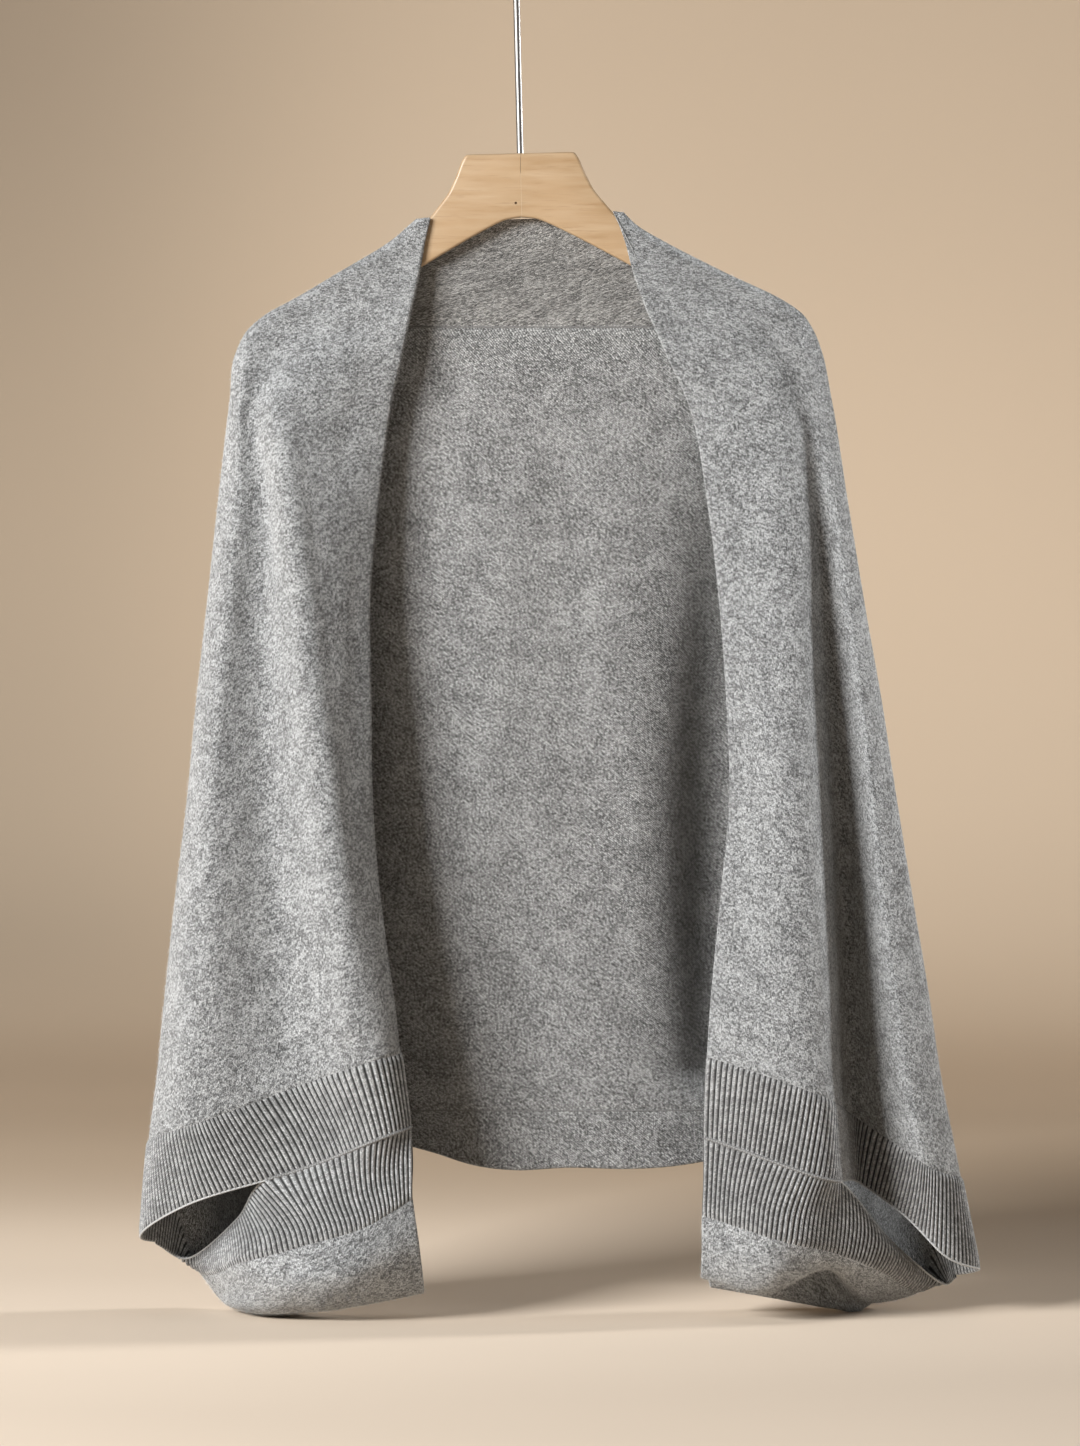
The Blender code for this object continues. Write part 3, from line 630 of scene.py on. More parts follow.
def cloth_mesh(name, outer, inner, stitches):
    """One closed thin wall between an outer and an inner grid, with a rounded rim. The
    outer face takes the first finish and the inner face the second."""
    rows, columns = outer.shape[:2]
    count = rows * columns
    index = np.arange(count).reshape(rows, columns)
    ring = np.concatenate((index[0], index[1:, -1], index[-1, -2::-1], index[-2:0:-1, 0]))
    next_in = np.pad(index[1:-1, 1:-1], 1, mode="edge").ravel()[ring]
    mid = ((outer + inner) / 2).reshape(-1, 3)
    away = mid[ring] - mid[next_in]
    away /= np.maximum(np.linalg.norm(away, axis=1, keepdims=True), 1e-9)
    bulge = mid[ring] + away * CLOTH * RIM_BULGE
    points = np.concatenate((outer.reshape(-1, 3), inner.reshape(-1, 3), bulge))
    face = np.stack((index[:-1, :-1], index[1:, :-1], index[1:, 1:], index[:-1, 1:]), axis=-1)
    face = face.reshape(-1, 4)
    back = face[:, ::-1] + count
    after = np.roll(ring, -1)
    edge = 2 * count + np.arange(len(ring))
    edge_after = np.roll(edge, -1)
    lip = np.column_stack((ring, after, edge_after, edge))
    lip_back = np.column_stack((edge, edge_after, after + count, ring + count))
    faces = np.concatenate((face, back, lip, lip_back))
    # The first and second direction of a grid may run either way, so the faces turn out.
    sample = rows // 2 * columns + columns // 2
    corner = points[[sample, sample + columns, sample + 1]]
    turned = np.cross(corner[1] - corner[0], corner[2] - corner[0])
    if np.dot(turned, points[sample] - points[sample + count]) < 0:
        faces = faces[:, ::-1]
    mesh = bpy.data.meshes.new(name)
    mesh.from_pydata((points * MM).tolist(), [], faces.tolist())
    sides = np.repeat((0, 1, 0), (len(face), len(back), 2 * len(ring)))
    mesh.polygons.foreach_set("material_index", sides)
    flat = stitches.reshape(-1, 2)
    flat = np.concatenate((flat, flat, flat[ring]))
    mesh.uv_layers.new(name="knit").data.foreach_set("uv", flat[faces.ravel()].ravel())
    mesh.validate()
    mesh.shade_smooth()
    return mesh


def marl(name, wale, course, dark, light, purl=False, legs=1.0, slope=0.9, turn=0.0,
         fleck=0.5, relief=0.00045):
    """Marl knit as nodes. A wale is one column of loops and a course one row of them,
    both in millimetres. Each half loop is a short slanting yarn with its own tone. The
    colour carries painted shade, darker where the yarn lies low between the loops, and legs
    under 1 leave a groove between the wales, as in a rib, painted dark."""
    knit = Finish(name, 0.92)
    u, v, _ = knit.knit_place()
    if turn:
        u, v = (u * math.cos(turn) + v * math.sin(turn),
                v * math.cos(turn) - u * math.sin(turn))
    # The yarn wanders a little, so no two loops are quite alike.
    wander = knit.noise(knit.joined(u, v), 0.16, 1.0) - 0.5
    u_loops = u / wale + wander * (1.1 if legs == 1 else 0.0)
    v_loops = v / course + wander * 1.5
    if purl:
        row = knit.maths("FLOOR", v_loops)
        u_loops = u_loops + knit.maths("MODULO", row, 2.0) * 0.5
    column = knit.maths("FLOOR", u_loops)
    across = knit.maths("FRACT", u_loops) - 0.5
    if purl:
        bow = across * across * 0.9
        rise = abs(knit.maths("FRACT", v_loops) - 0.5 - bow)
        height = (knit.spread(rise, 0.10, 0.46, 1.0, 0.0)
                  * knit.spread(abs(across), 0.30, 0.5, 1.0, 0.25))
        mark = knit.joined(column, row, 3.0)
    else:
        reach = abs(across) * (2.0 / legs)
        lean = v_loops + reach * slope
        yarn = knit.maths("SINE", knit.maths("FRACT", lean) * math.pi)
        height = yarn * knit.spread(abs(reach - 0.5), 0.16, 0.55, 1.0, 0.15)
        hand = knit.maths("SIGN", across)
        mark = knit.joined(column * 2.0 + hand, knit.maths("FLOOR", lean), 1.0)
    tuft = knit.spread(knit.noise(knit.joined(u / 1.15, v / 1.5), 1.0, 3.0, 0.65), 0.36, 0.64)
    cloud = knit.noise(knit.joined(u, v, 7.0), 0.055, 3.0, 0.55) - 0.5
    value = knit.chance(mark) * (1.0 - fleck) + tuft * fleck + cloud * 0.5
    mid = tuple((a + b) / 2 * 0.86 for a, b in zip(dark, light))
    # Painted shade: the colour is darkened where the yarn lies low between the loops and, in a
    # rib, down the groove between the cords.
    deep = knit.spread(height, 0.0, 0.7, 0.42, 1.0)
    if legs < 1:
        deep = deep * (knit.spread(reach, 0.95, 1.35, 1.0, 0.0) * 0.84 + 0.16)
    knit.set("Base Color", knit.between(
        1.0, knit.shades(value, ((0.12, dark), (0.5, mid), (0.88, light))),
        knit.joined(deep, deep, deep), "MULTIPLY"))
    fibre = knit.noise(knit.joined(u, v, 2.0), 3.4, 2.0, 0.6)
    knit.relief(height + fibre * 0.45, relief)
    knit.set("Specular IOR Level", 0.22)
    knit.set("Sheen Weight", 0.32)
    knit.set("Sheen Roughness", 0.45)
    knit.set("Sheen Tint", (1.0, 0.995, 0.98))
    return knit.material


COURSE = 1.5
face_knit = marl("grey marl knit, right side", 2.0, COURSE, (0.080, 0.083, 0.086),
                 (0.76, 0.785, 0.80))
wrong_knit = marl("grey marl knit, wrong side", 1.8, 1.3, (0.072, 0.073, 0.073),
                  (0.62, 0.63, 0.63), purl=True, turn=math.radians(35), fleck=0.6,
                  relief=0.0003)
plain_cloth = [face_knit, wrong_knit]


def on_side(side, place):
    """A place counted from the left open edge, or the same one from the right edge."""
    return place if side == "left" else RIGHT_EDGE - place


def draped(place, drop):
    """The garment's outside and its facing, with the smaller creases in it. They die out
    at the side folds, at the neck and before the rib bands and the hem."""
    points, normals = wrap(place, drop), facing(wrap, place, drop)
    place, drop = spots(place, drop)
    # Each eased pair is where the creases start to fade and where they are gone.
    to_edge = np.minimum(place, RIGHT_EDGE - place)
    front = (1 - eased(to_edge, 3.5, 4.15)) * eased(drop, 236, 275)
    bands = [read_table(table, np.clip(on_side(side, place), 0, 4.5).ravel())[:, 0]
             .reshape(place.shape) for side, table in BANDS.items()]
    low = np.where(place < MIDDLE, *bands)
    front = front * (1 - eased(drop, low - 40, low - 4))
    behind = eased(to_edge, 4.4, 5.1) * eased(drop, 236, 275) * (1 - eased(drop, 872, 904))
    points = creased(points, normals, FRONT_CREASES, front)
    points = creased(points, normals, BACK_CREASES, behind)
    return points, normals


def front_mesh(side, fold_radius, fold_in):
    """A front as one wall, with its open edge rolled in by a radius and then a flap."""
    places = np.linspace(0, SIDE_SEAM, FRONT_COLUMNS)
    top = FRONTS[side][0][0]
    low = read_table(BANDS[side], places)[:, 0]
    fall = np.linspace(0, 1, FRONT_ROWS)[:, None]
    outer, normals = draped(on_side(side, places[None, :]), top + (low - top)[None, :] * fall)
    # The roll starts where its own radius still fits inside the open edge.
    into = unit(outer[:, 0] - outer[:, 3])
    face = normals[:, 0]
    # The roll and the flap are small at the neck and full a tenth of the way down.
    grow = eased(fall, 0.0, 0.10)
    radius = fold_radius * (0.35 + 0.65 * grow)
    flap = fold_in * grow * (1 + 0.10 * np.sin(fall * 17.0))
    near_edge = 1 - eased(np.arange(FRONT_COLUMNS), 0, ROOM_COLUMNS)
    outer = outer - into[:, None, :] * (radius * near_edge[None, :])[..., None]
    turns = np.radians(np.linspace(180, 180 / ROLL_COLUMNS, ROLL_COLUMNS))
    rolled = [outer[:, 0] + into * radius * np.sin(turn) - face * radius * (1 - np.cos(turn))
              for turn in turns]
    rolled_face = [face * np.cos(turn) + into * np.sin(turn) for turn in turns]
    flaps = [rolled[0] - into * flap * part - face * 0.6 * math.sin(part * 6.0)
             for part in FLAP_COLUMNS]
    outer = np.concatenate((np.stack(flaps + rolled, axis=1), outer), axis=1)
    flap_face = [-face] * len(FLAP_COLUMNS)
    normals = np.concatenate((np.stack(flap_face + rolled_face, axis=1), normals), axis=1)
    return wall_mesh("front_cloth_" + side, outer, normals, 0 if side == "left" else 1)


def wall_mesh(name, outer, normals, patch):
    """A wall of cloth under a grid of points, cut from a patch of the knit."""
    across = run_of(outer, 1) + patch * KNIT_APART
    down = run_of(outer, 0).mean(axis=1)[:, None] * np.ones_like(across)
    return cloth_mesh(name, outer, outer - normals * CLOTH, np.stack((across, down), axis=-1))


fronts = {}
# The left edge is rolled in deep and the right one is turned in flatter.
for side, radius, fold_in, flat, area in (("left", 3.4, 24.0, (0.30, 0.71), 0.150),
                                          ("right", 1.7, 9.0, (0.35, 0.74), 0.151)):
    mesh = front_mesh(side, radius, fold_in)
    fronts[side] = new_piece("front_cloth_" + side, mesh, plain_cloth, "front_" + side)

# The yoke
# The strip of back between the shoulders, from the neck edge down to the yoke seam. It
# is knitted with the purl side towards the hanger, with its rows slanting.
NECK_SAG = 3.0
BACK_COLUMNS = 150
YOKE_ROWS = 44
yoke_purl = marl("grey marl knit, purl rows", 2.0, 1.7, (0.08, 0.079, 0.077),
                 (0.70, 0.695, 0.675), purl=True, turn=math.radians(-38), relief=0.0005)


def wrap_piece(name, places, drops, finishes, patch, node):
    """A piece of cloth that lies on the garment's own surface."""
    mesh = wall_mesh(name, *draped(places[None, :], drops), patch)
    return new_piece(name, mesh, finishes, node)


back_places = np.linspace(SIDE_SEAM, RIGHT_EDGE - SIDE_SEAM, BACK_COLUMNS)
yoke_share = np.linspace(0, 1, BACK_COLUMNS)
neck_left, neck_right = LEFT_FRONT[0][0], RIGHT_FRONT[0][0]
neck_line = (neck_left + (neck_right - neck_left) * yoke_share
             + NECK_SAG * 4 * yoke_share * (1 - yoke_share))
yoke_drops = neck_line + (YOKE_DROP - neck_line) * np.linspace(0, 1, YOKE_ROWS)[:, None]
yoke = wrap_piece("yoke_cloth", back_places, yoke_drops, [face_knit, yoke_purl], 2, "yoke")

# The back
# One wide panel from the yoke seam down to the hem seam and round to both side seams.
# It shows its wrong side between the fronts, and hangs with soft upright creases.
BACK_ROWS = 160
back_drops = np.linspace(YOKE_DROP, HEM_SEAM_DROP, BACK_ROWS)[:, None]
back = wrap_piece("back_cloth", back_places, back_drops, plain_cloth, 3, "back")

# The hem band
# The strip across the middle of the back, below the hem seam. Its free edge is cast off
# and curls a little, so it waves.
HEM_EDGE = ((6.15, 931), (6.4, 938), (6.75, 949), (7.0, 952), (7.35, 950), (7.75, 951),
            (8.0, 949), (8.2, 945))
HEM_COLUMNS = 110
HEM_ROWS = 18
hem_places = np.linspace(HEM_EDGE[0][0], HEM_EDGE[-1][0], HEM_COLUMNS)
hem_edge = read_table(HEM_EDGE, hem_places)[:, 0]
hem_drops = HEM_SEAM_DROP + (hem_edge - HEM_SEAM_DROP) * np.linspace(0, 1, HEM_ROWS)[:, None]
hem = wrap_piece("hem_cloth", hem_places, hem_drops, plain_cloth, 4, "hem_band")

# The upper rib bands
# Each front ends in a one-by-one rib, knitted on along its lower edge: every second
# wale stands up as a cord and the wale between sinks in. It is the sleeve mouth's
# upper lip.
RIB_PITCH = 4.0
RIB_LEAN = 0.28
RIB_STEPS = 8
RIB_ROWS = 22
# How many points a curve is measured by, before its ribs are shared out.
RIB_CURVE = 400
RIB_LIFT = 1.55
RIB_START = 4.0
RIB_END = 5.0
RIB_THIN = 0.7
RIB_LOOPS = {"legs": 0.62, "slope": 1.0, "fleck": 0.45, "relief": 0.0004}
rib_face = marl("grey marl rib, right side", RIB_PITCH, COURSE, (0.24, 0.244, 0.247),
                (0.65, 0.66, 0.665), **RIB_LOOPS)
rib_back = marl("grey marl rib, wrong side", RIB_PITCH, COURSE, (0.20, 0.204, 0.206),
                (0.62, 0.63, 0.63), **RIB_LOOPS)


def evenly_along(curve, high):
    """Numbers from 0 to high that part a curve of points into the steps of its ribs."""
    run = run_of(curve, 0)
    steps = RIB_STEPS * round(run[-1] / RIB_PITCH)
    return np.interp(np.linspace(0, run[-1], steps + 1), run, np.linspace(0, high, len(curve)))


def rib_piece(name, outer, normals, patch, starts_at_top, node):
    """A rib band: cords and grooves lift from the grid, and round off where they start.
    Inside, the cloth is a little thinner behind each cord."""
    phase = np.arange(outer.shape[1]) / RIB_STEPS
    cord = (0.5 - 0.5 * np.cos(2 * math.pi * phase)) ** 0.8
    down = run_of(outer, 0)
    up = down[-1] - down
    from_start, to_edge = (down, up) if starts_at_top else (up, down)
    rise = cord * eased(from_start, 0.2, RIB_START) * (0.55 + 0.45 * eased(to_edge, 0, RIB_END))
    outside = outer + normals * (rise * RIB_LIFT)[..., None]
    inside = outer - normals * (CLOTH - RIB_THIN * rise)[..., None]
    across = phase[None, :] * RIB_PITCH + patch * KNIT_APART + np.zeros_like(down)
    mesh = cloth_mesh(name, outside, inside, np.stack((across, down), axis=-1))
    return new_piece(name, mesh, [rib_face, rib_back], node)


def upper_band(side, patch):
    run = np.linspace(0, 1, RIB_CURVE)
    levels = read_table(BANDS[side], run * SIDE_SEAM)
    run = evenly_along(wrap(on_side(side, run * SIDE_SEAM), levels.mean(axis=1)), 1)
    fall = np.linspace(0, 1, RIB_ROWS)[:, None]
    place = SIDE_SEAM * (run + RIB_LEAN * run * (1 - run) * (1 - fall))
    band = read_table(BANDS[side], place.ravel())
    top, edge = band[:, 0].reshape(place.shape), band[:, 1].reshape(place.shape)
    outer, normals = draped(on_side(side, place), top + (edge - top) * fall)
    return rib_piece("band_upper_" + side, outer, normals, patch, True, "cuff_upper_" + side)


for side, patch, flat in (("left", 5, (0.28, 0.07)), ("right", 6, (0.33, 0.07))):
    upper_band(side, patch)

# The sleeves' lower sides
# The plain cloth under each wide sleeve: from the lower rib band it bags round the
# bottom fold and comes up behind to the back's hem seam.
BAND_SEAM_LINE = 2
LAST_LINE = 8
UNDER_COLUMNS = 120
UNDER_ROWS = 120
# The fold lines of each bag: turned fold, band seam, belly, front bottom, crease, rear
# bottom and back belly. Each has out, depth and drop at five stations.
UNDERS = {
    "left": (
        ((77, -63, 944), (121, -75, 966), (165, -72, 984), (207, -46, 1004), (248, 36, 1026)),
        ((77, -66, 971), (114, -82, 992), (157, -80, 1005), (205, -54, 1019), (244, 42, 1029)),
        ((72, -66, 1007), (118, -86, 1026), (155, -82, 1034), (201, -48, 1039), (238, 47, 1037)),
        ((69, -42, 1041), (118, -56, 1051), (154, -52, 1056), (204, -28, 1056), (232, 51, 1042)),
        ((72, -20, 1041), (118, -20, 1050), (156, -12, 1056), (201, 7, 1059), (223, 55, 1036)),
        ((78, -2, 1032), (122, 8, 1043), (158, 16, 1052), (194, 30, 1052), (215, 59, 1014)),
        ((93, 27, 962), (132, 44, 984), (168, 54, 990), (192, 60, 986), (217, 61, 958)),
    ),
    "right": (
        ((143, -66, 954), (204, -94, 977), (246, -68, 986), (287, -34, 1014), (321, 29, 1041)),
        ((142, -68, 983), (200, -95, 1001), (243, -66, 1012), (280, -30, 1028), (313, 38, 1044)),
        ((142, -68, 1010), (194, -88, 1026), (240, -56, 1022), (272, -18, 1038), (306, 45, 1046)),
        ((142, -58, 1031), (190, -64, 1042), (237, -46, 1024), (266, -4, 1047), (298, 51, 1045)),
        ((147, -30, 1025), (194, -26, 1029), (239, -12, 1024), (264, 8, 1052), (291, 57, 1040)),
        ((150, 0, 1038), (202, 2, 1049), (241, 10, 1057), (265, 30, 1056), (286, 62, 1022)),
        ((151, 36, 962), (200, 56, 990), (238, 64, 996), (262, 67, 990), (285, 64, 962)),
    ),
}
# The mouth's lower lip: its middle and its lowest point, as out, depth and drop.
LIPS = {"left": ((211, -24, 988), (249, 31, 1020)),
        "right": ((284, -28, 1002), (325, 22, 1038))}
# Places where the lower bands meet the upper ones and the back's hem seam, and the drops
# down the side fold.
JOINS = {"left": (0.0, 1.45, 2.35), "right": (0.0, 0.75, 1.3)}
HEM_PLACES = {"left": (6.15, 5.75, 5.25, 4.95, 4.7, SIDE_SEAM),
              "right": (5.8, 5.35, 5.02, 4.82, 4.6, SIDE_SEAM)}
FOLD_DROPS = {"left": (1008, 986, 944, 938, 932, 926, 920, 914, HEM_SEAM_DROP),
              "right": (1034, 1011, 970, 960, 950, 940, 930, 918, HEM_SEAM_DROP)}


def curve_through(rows, at):
    """The smooth curve through evenly numbered rows, read at each place."""
    rows = np.asarray(rows, float).reshape(len(rows), -1)
    table = np.column_stack((np.arange(len(rows)), rows))
    return read_table(table, at)


def lower_sleeve(side):
    """The surface of a sleeve's lower side, by station along the band and by fold line,
    and the direction out of it."""
    turn = 1 if side == "left" else -1
    mirror = np.array((-turn, 1.0, -1.0))

    def join_seat(station):
        place = curve_through(JOINS[side], np.clip(station, 0, 2))[:, 0]
        return on_side(side, place), read_table(BANDS[side], place)[:, 1]

    def hem_seat(station):
        place = curve_through(HEM_PLACES[side], station)[:, 0]
        return on_side(side, place), np.full(len(place), HEM_SEAM_DROP)

    def fold_seat(line):
        drop = curve_through(FOLD_DROPS[side], line)[:, 0]
        return np.full(len(drop), on_side(side, SIDE_SEAM)), drop

    lines = np.zeros((LAST_LINE + 1, 6, 3))
    lines[0, :3] = wrap(*join_seat(np.arange(3.0)))
    lines[0, 3:5] = np.array(LIPS[side]) * mirror
    for number, stations in enumerate(UNDERS[side], start=1):
        lines[number, :5] = np.array(stations) * mirror
    lines[LAST_LINE] = wrap(*hem_seat(np.arange(6.0)))
    lines[:, 5] = wrap(*fold_seat(np.arange(LAST_LINE + 1.0)))

    def spline(station, line):
        across = [curve_through(row, station) for row in lines]
        return along_controls(np.stack(across, axis=1), line)

    def surface(station, line):
        station, line = spots(station, line)
        form = station.shape
        station, line = station.ravel(), line.ravel()
        points = spline(station, line)
        # Along its seams the surface is drawn exactly onto the neighbouring pieces.
        for seat, at_station, at_line, pull in (
            (join_seat(station), station, 0.0, np.clip(1 - line, 0, 1) * (station <= 2)),
            (hem_seat(station), station, LAST_LINE, np.clip(line - LAST_LINE + 1, 0, 1)),
            (fold_seat(line), 5.0, line, np.clip(station - 4, 0, 1)),
        ):
            edge = spline(*spots(at_station, at_line, station)[:2])
            points += (wrap(*seat) - edge) * pull[:, None] ** 2
        return points.reshape(*form, 3)

    def directions(station, line):
        found = facing(surface, station, line, turn)
        station, line = spots(station, line)
        for seat, here in (
            (join_seat(station.ravel()), (line == 0) & (station <= 2)),
            (hem_seat(station.ravel()), line == LAST_LINE),
            (fold_seat(line.ravel()), station == 5),
        ):
            place, drop = (part.reshape(station.shape) for part in seat)
            found[here] = facing(wrap, place, drop)[here]
        return found

    return surface, directions


# Small creases of the bags, in the view from the front, as for the fronts.
BAG_CREASES = (
    (-160, 1012, -118, 1050, 7, -1.4),
    (-100, 985, -78, 1040, 9, 1.3),
    (-205, 1020, -170, 1056, 9, 1.2),
    (-146, 1020, -176, 1050, 6, 1.0),
    (148, 1000, 160, 1034, 8, 1.2),
    (186, 1000, 214, 1020, 7, -1.2),
    (232, 1010, 268, 1046, 9, 1.2),
    (250, 980, 286, 1030, 8, -1.0),
)


def under_piece(side, patch):
    surface, directions = lower_sleeve(side)
    station = np.linspace(0, 5, UNDER_COLUMNS)[None, :]
    line = np.linspace(BAND_SEAM_LINE, LAST_LINE, UNDER_ROWS)[:, None]
    outer, normals = surface(station, line), directions(station, line)
    # The creases fade out before the seams.
    share = (eased(line, 2.0, 2.6) * (1 - eased(line, 7.2, 7.9)) * eased(station, 0, 0.3)
             * (1 - eased(station, 4.3, 4.9)))
    outer = creased(outer, normals, BAG_CREASES, share)
    across = run_of(outer, 1).mean(axis=0)[None, :] + patch * KNIT_APART + np.zeros_like(line)
    mesh = cloth_mesh("bag_" + side, outer, outer - normals * CLOTH,
                      np.stack((across, run_of(outer, 0)), axis=-1))
    return new_piece("bag_" + side, mesh, plain_cloth, "under_" + side)


bags = {}
for side, patch, area in (("left", 7, 0.050), ("right", 8, 0.048)):
    bags[side] = under_piece(side, patch)

# The lower rib bands
# The same rib again, sewn to the upper band towards the open front. Past the end of
# that seam it turns under and is the sleeve mouth's lower lip.
for side, patch, flat in (("left", 9, (0.26, 0.055)), ("right", 10, (0.27, 0.055))):
    surface, directions = lower_sleeve(side)
    middle = surface(np.linspace(0, 5, RIB_CURVE), BAND_SEAM_LINE / 2)
    station = evenly_along(middle, 5)[None, :]
    line = np.linspace(0, BAND_SEAM_LINE, RIB_ROWS)[:, None]
    lower_band = rib_piece("band_lower_" + side, surface(station, line),
                           directions(station, line), patch, False, "cuff_lower_" + side)

# The edges and seams
# Each rib band is cast off with one smooth chain of pale loops, which lines both lips of
# the sleeve's mouth. The bands are joined by a thin pale chain over a wider dark yarn, which
# # paints the shade of a dent along the join. The yoke, the back and the hem are sewn with a
# # thin darker yarn on the inside.
CHAIN = 1.6
SEAM_YARN = 1.3
# The width of the dark yarn that paints the shade of the dent along the band join.
DENT_SHADE_WIDTH = 3.0
SEAM_CHAIN = 1.2
CHAIN_STITCH = 2.2
CHAIN_SIDES = 8
EDGE_POINTS = 260


def plain_yarn(name, dark, light):
    yarn = Finish(name, 0.9)
    u, v, _ = yarn.knit_place()
    shade = yarn.noise(yarn.joined(u, v), 1.3)
    yarn.set("Base Color", yarn.between(yarn.spread(shade, 0.35, 0.65), dark, light))
    yarn.relief(yarn.noise(yarn.joined(u, v, 5.0), 4.0), 0.0002)
    yarn.set("Sheen Weight", 0.25)
    return yarn.material


edge_yarn = plain_yarn("grey yarn, cast-off edge", (0.33, 0.336, 0.336), (0.56, 0.57, 0.57))
chain_yarn = plain_yarn("grey yarn, joining chain", (0.20, 0.20, 0.20), (0.40, 0.405, 0.405))
seam_and_dent_shade_yarn = plain_yarn("grey yarn, seams", (0.10, 0.10, 0.10), (0.24, 0.24, 0.235))


def yarn_along(name, points, across, finish):
    mesh = tube_mesh(name, points, across / 2, CHAIN_SIDES, CHAIN_STITCH)
    new_piece(name, mesh, [finish])


for side, join in JOINS.items():
    place = np.linspace(join[-1], SIDE_SEAM, EDGE_POINTS)
    points, normals = draped(on_side(side, place), read_table(BANDS[side], place)[:, 1])
    yarn_along("edge_upper_" + side, points + normals * 0.1 - (0, 0, 0.4), CHAIN, edge_yarn)
    surface, directions = lower_sleeve(side)
    lip = np.linspace(2.02, 4.98, EDGE_POINTS)
    seam = np.linspace(0.02, 1.99, EDGE_POINTS)
    # Along the band join, a wide dark yarn under the thin chain paints the shade of a dent.
    for name, station, lift, across, finish in (
        ("edge_lower_", lip, 0.1, CHAIN, edge_yarn),
        ("seam_bands_", seam, 0.35, DENT_SHADE_WIDTH, seam_and_dent_shade_yarn),
        ("chain_bands_", seam, 1.25, SEAM_CHAIN, chain_yarn),
    ):
        points = surface(station, 0.0) + directions(station, np.zeros(EDGE_POINTS)) * lift
        yarn_along(name + side, points, across, finish)
for name, drop, first, last in (("seam_yoke", YOKE_DROP, SIDE_SEAM, RIGHT_EDGE - SIDE_SEAM),
                                ("seam_hem", HEM_SEAM_DROP, HEM_EDGE[0][0], HEM_EDGE[-1][0])):
    points, normals = draped(np.linspace(first + 0.02, last - 0.02, EDGE_POINTS), drop)
    yarn_along(name, points - normals * (CLOTH - 0.1), SEAM_YARN, seam_and_dent_shade_yarn)

# The fuzz
# Fine loose fibres of the brushed yarn stand out all over the fronts and the bags and blur
# # their outline. Each is a thin bent spike, rooted in the cloth.
FIBRES = 9000
FIBRE_LONG = (1.6, 4.2)
FIBRE_WIDE = 0.10
FIBRE_SCATTER = 0.8
FIBRE_ROOT = 0.15
fuzz_yarn = Finish("grey loose fibre", 0.9)
fuzz_shade = fuzz_yarn.spread(fuzz_yarn.noise(fuzz_yarn.place(), 400.0, 1.0), 0.35, 0.65)
fuzz_yarn.set("Base Color", fuzz_yarn.between(fuzz_shade, (0.45, 0.46, 0.46),
                                              (0.86, 0.87, 0.87)))


def fuzz_on(piece, seed):
    """Fibres over the right side of a piece of cloth, thicker where it turns away."""
    chance = np.random.default_rng(seed)
    mesh = piece.data
    count = len(mesh.polygons)
    centres, facings = np.zeros(count * 3), np.zeros(count * 3)
    areas, sides = np.zeros(count), np.zeros(count, int)
    mesh.polygons.foreach_get("center", centres)
    mesh.polygons.foreach_get("normal", facings)
    mesh.polygons.foreach_get("area", areas)
    mesh.polygons.foreach_get("material_index", sides)
    centres, facings = centres.reshape(-1, 3) / MM, facings.reshape(-1, 3)
    weight = areas * (sides == 0) * (0.35 + (1 - np.abs(facings[:, 1])) ** 2)
    picked = chance.choice(count, FIBRES, p=weight / weight.sum())
    root = centres[picked] + chance.normal(0, FIBRE_SCATTER, (FIBRES, 3))
    face = facings[picked]
    # The root sits a little below the surface.
    above = np.einsum("ij,ij->i", root - centres[picked], face)
    root -= face * (above + FIBRE_ROOT)[:, None]
    loose = chance.normal(0, 1, (FIBRES, 3))
    loose = unit(loose - face * np.einsum("ij,ij->i", loose, face)[:, None])
    reach = chance.uniform(*FIBRE_LONG, (FIBRES, 1))
    rise = chance.uniform(0.25, 0.9, (FIBRES, 1))
    bend = root + face * reach * 0.45 * rise + loose * reach * 0.40
    tip = bend + face * reach * 0.10 * rise + loose * reach * 0.5
    across = np.cross(face, loose)
    wide = FIBRE_WIDE / 2
    points = np.stack((root, bend + across * wide, bend - across * wide,
                       bend + face * wide * 1.6, tip), axis=1).reshape(-1, 3)
    spike = np.array(((0, 2, 1), (0, 1, 3), (0, 3, 2), (4, 1, 2), (4, 3, 1), (4, 2, 3)))
    faces = (np.arange(FIBRES)[:, None, None] * 5 + spike).reshape(-1, 3)
    fuzz = bpy.data.meshes.new("fuzz")
    fuzz.from_pydata((points * MM).tolist(), [], faces.tolist())
    new_piece("fuzz_" + piece.name, fuzz, [fuzz_yarn.material])


for seed, piece in enumerate((*fronts.values(), *bags.values()), start=11):
    fuzz_on(piece, seed)

# The floor and the backdrop
# One pale beige paper that runs from the floor up behind in a wide bend. The floor
# climbs a little towards the bend.
FLOOR_DROP = 1.070
SWEEP_REACH = 6.0
SWEEP = ((-9.0, 0), (-2.0, 0), (-0.3, 0), (0.2, 0.025), (0.5, 0.065), (1.0, 0.095), (1.8, 0.11),
         (2.3, 0.17), (2.6, 0.38), (2.75, 0.85), (2.8, 2.0), (2.8, 4.6))
paper = Finish("beige paper", 0.9)
paper_x, paper_y, paper_z = paper.parts(paper.place())
paper_cloud = paper.noise(paper.place(), 0.9)
# Painted shade: the floor's paper is paler at the front and darker further back.
floor_tone_painted_shade = paper.between(paper.spread(paper_y, 0.0, 0.9), (0.77, 0.65, 0.525),
                            (0.61, 0.48, 0.35))
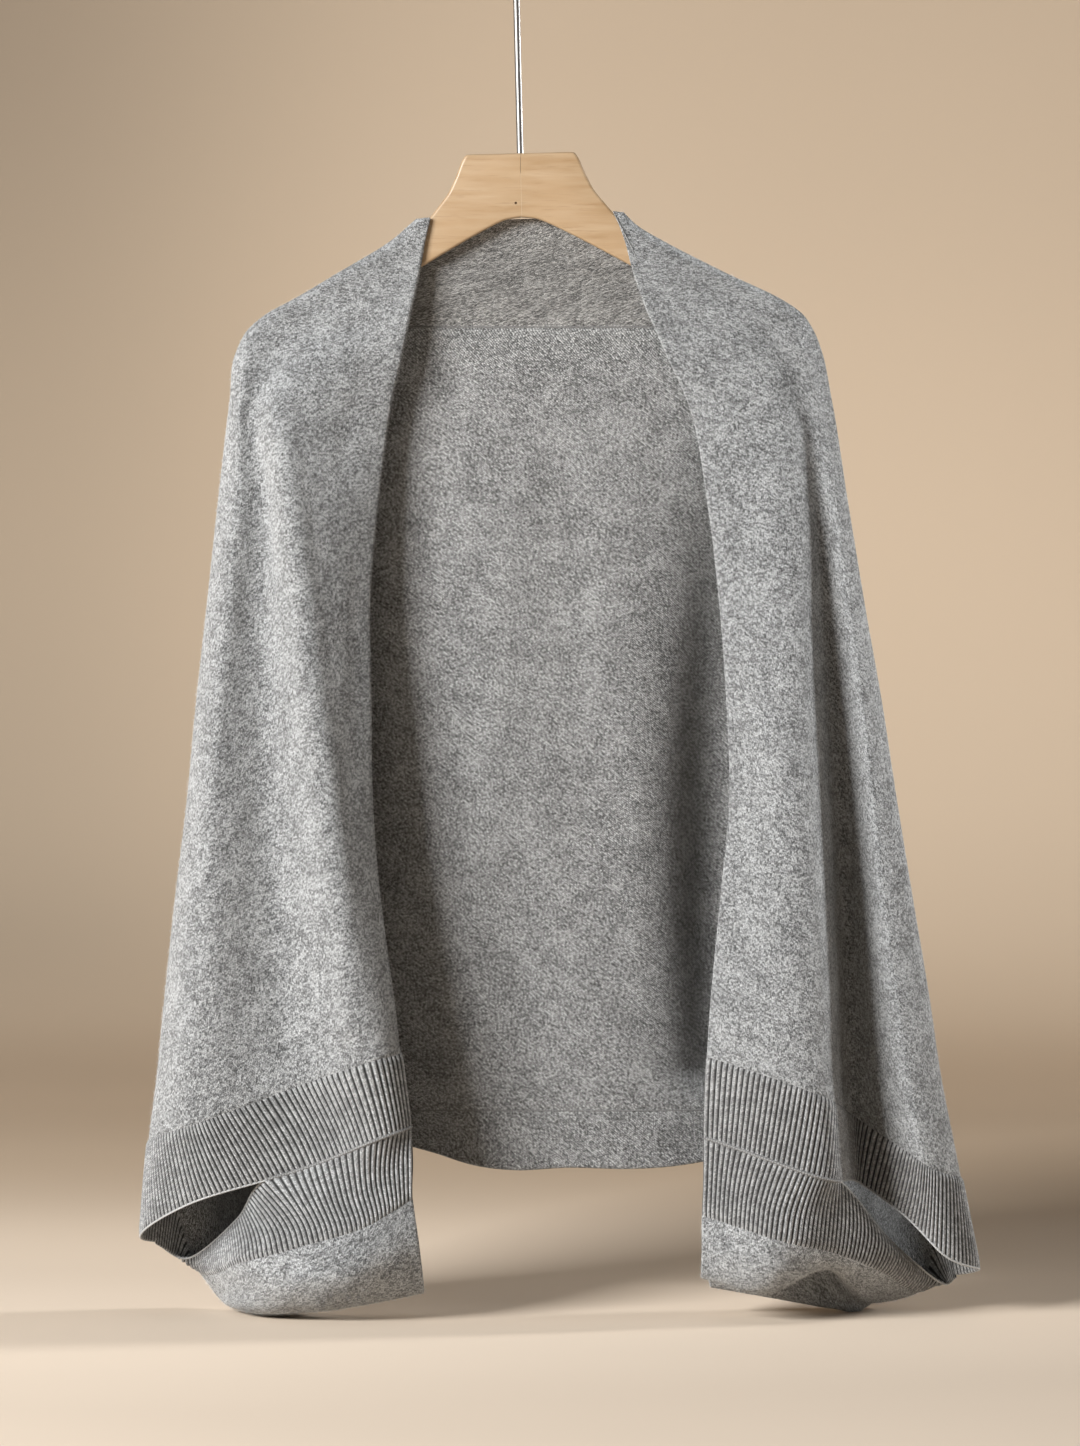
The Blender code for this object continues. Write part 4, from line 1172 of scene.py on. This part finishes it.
# Painted shade: where the paper stands up it is darker to the left and at the top.
wall_painted_shade = (paper.spread(paper_x, 0.05, -0.6) * 0.38
             + paper.spread(paper_z, -0.5, 0.3) * 0.20)
wall_tone_painted_shade = paper.between(wall_painted_shade, (0.70, 0.56, 0.415), (0.0, 0.0, 0.0))
paper_colour_and_painted_shade = paper.between(paper.spread(paper_z, -1.0, -0.8), floor_tone_painted_shade, wall_tone_painted_shade)
paper_colour_and_painted_shade = paper.between(paper.spread(paper_cloud, 0.3, 0.7, 0.0, 0.05), paper_colour_and_painted_shade,
                           (0.0, 0.0, 0.0))
paper.set("Base Color", paper_colour_and_painted_shade)
paper.set("Specular IOR Level", 0.1)
# The paper has no rear side, so that it hides nothing from someone behind it.
paper_faces = paper.node("ShaderNodeMixShader",
                         paper.node("ShaderNodeNewGeometry", out="Backfacing"),
                         Value(paper, paper.shader.outputs[0]),
                         paper.node("ShaderNodeBsdfTransparent"))
paper.feed(paper.tree.nodes["Material Output"].inputs["Surface"], paper_faces)
sweep_line = rounded_outline(SWEEP, 10)
sweep_points = [(x, away, up - FLOOR_DROP) for x in (-SWEEP_REACH, SWEEP_REACH)
                for away, up in sweep_line]
sweep_count = len(sweep_line)
sweep_faces = [(one, one + sweep_count, one + sweep_count + 1, one + 1)
               for one in range(sweep_count - 1)]
sweep_mesh = bpy.data.meshes.new("sweep")
sweep_mesh.from_pydata(sweep_points, [], sweep_faces)
sweep_mesh.shade_smooth()
sweep_mesh.materials.append(paper.material)
sweep = put("sweep", sweep_mesh)

# The light
# A big soft box in front at the left, weak ones at the right and overhead, a round lamp
# behind at the right that catches the side folds, and a dim room.
CHEST = (0.0, 0.0, -0.6)


def lamp(name, kind, place, aim, power):
    light = bpy.data.lights.new(name, kind)
    light.energy = power
    made = put(name, light)
    made.location = place
    away = np.array(place) - np.array(aim)
    turn = math.atan2(away[0], -away[1])
    tilt = math.atan2(math.hypot(away[0], away[1]), away[2])
    made.rotation_euler = (tilt, 0, turn)
    return light


for name, place, aim, size, power in (
    ("key", (-3.75, -3.75, 1.15), CHEST, (2.4, 1.6), 550),
    ("fill", (3.4, -1.2, -0.3), CHEST, (1.6, 1.6), 14),
    ("over", (0.0, -0.6, 2.4), (0.0, 0.2, -1.0), (2.5, 2.0), 9),
):
    soft_box = lamp(name, "AREA", place, aim, power)
    soft_box.shape = "RECTANGLE"
    soft_box.size, soft_box.size_y = size
rim = lamp("rim", "SPOT", (3.2, 0.95, 0.1), (0.3, 0.0, -0.52), 620)
rim.shadow_soft_size = 0.35
rim.spot_size = math.radians(21)
rim.spot_blend = 0.5
room = bpy.data.worlds.new("room")
room.use_nodes = True
room.node_tree.nodes["Background"].inputs[0].default_value = (1.0, 0.96, 0.91, 1.0)
room.node_tree.nodes["Background"].inputs[1].default_value = 0.01
bpy.context.scene.world = room
bpy.context.scene.view_settings.view_transform = "Standard"
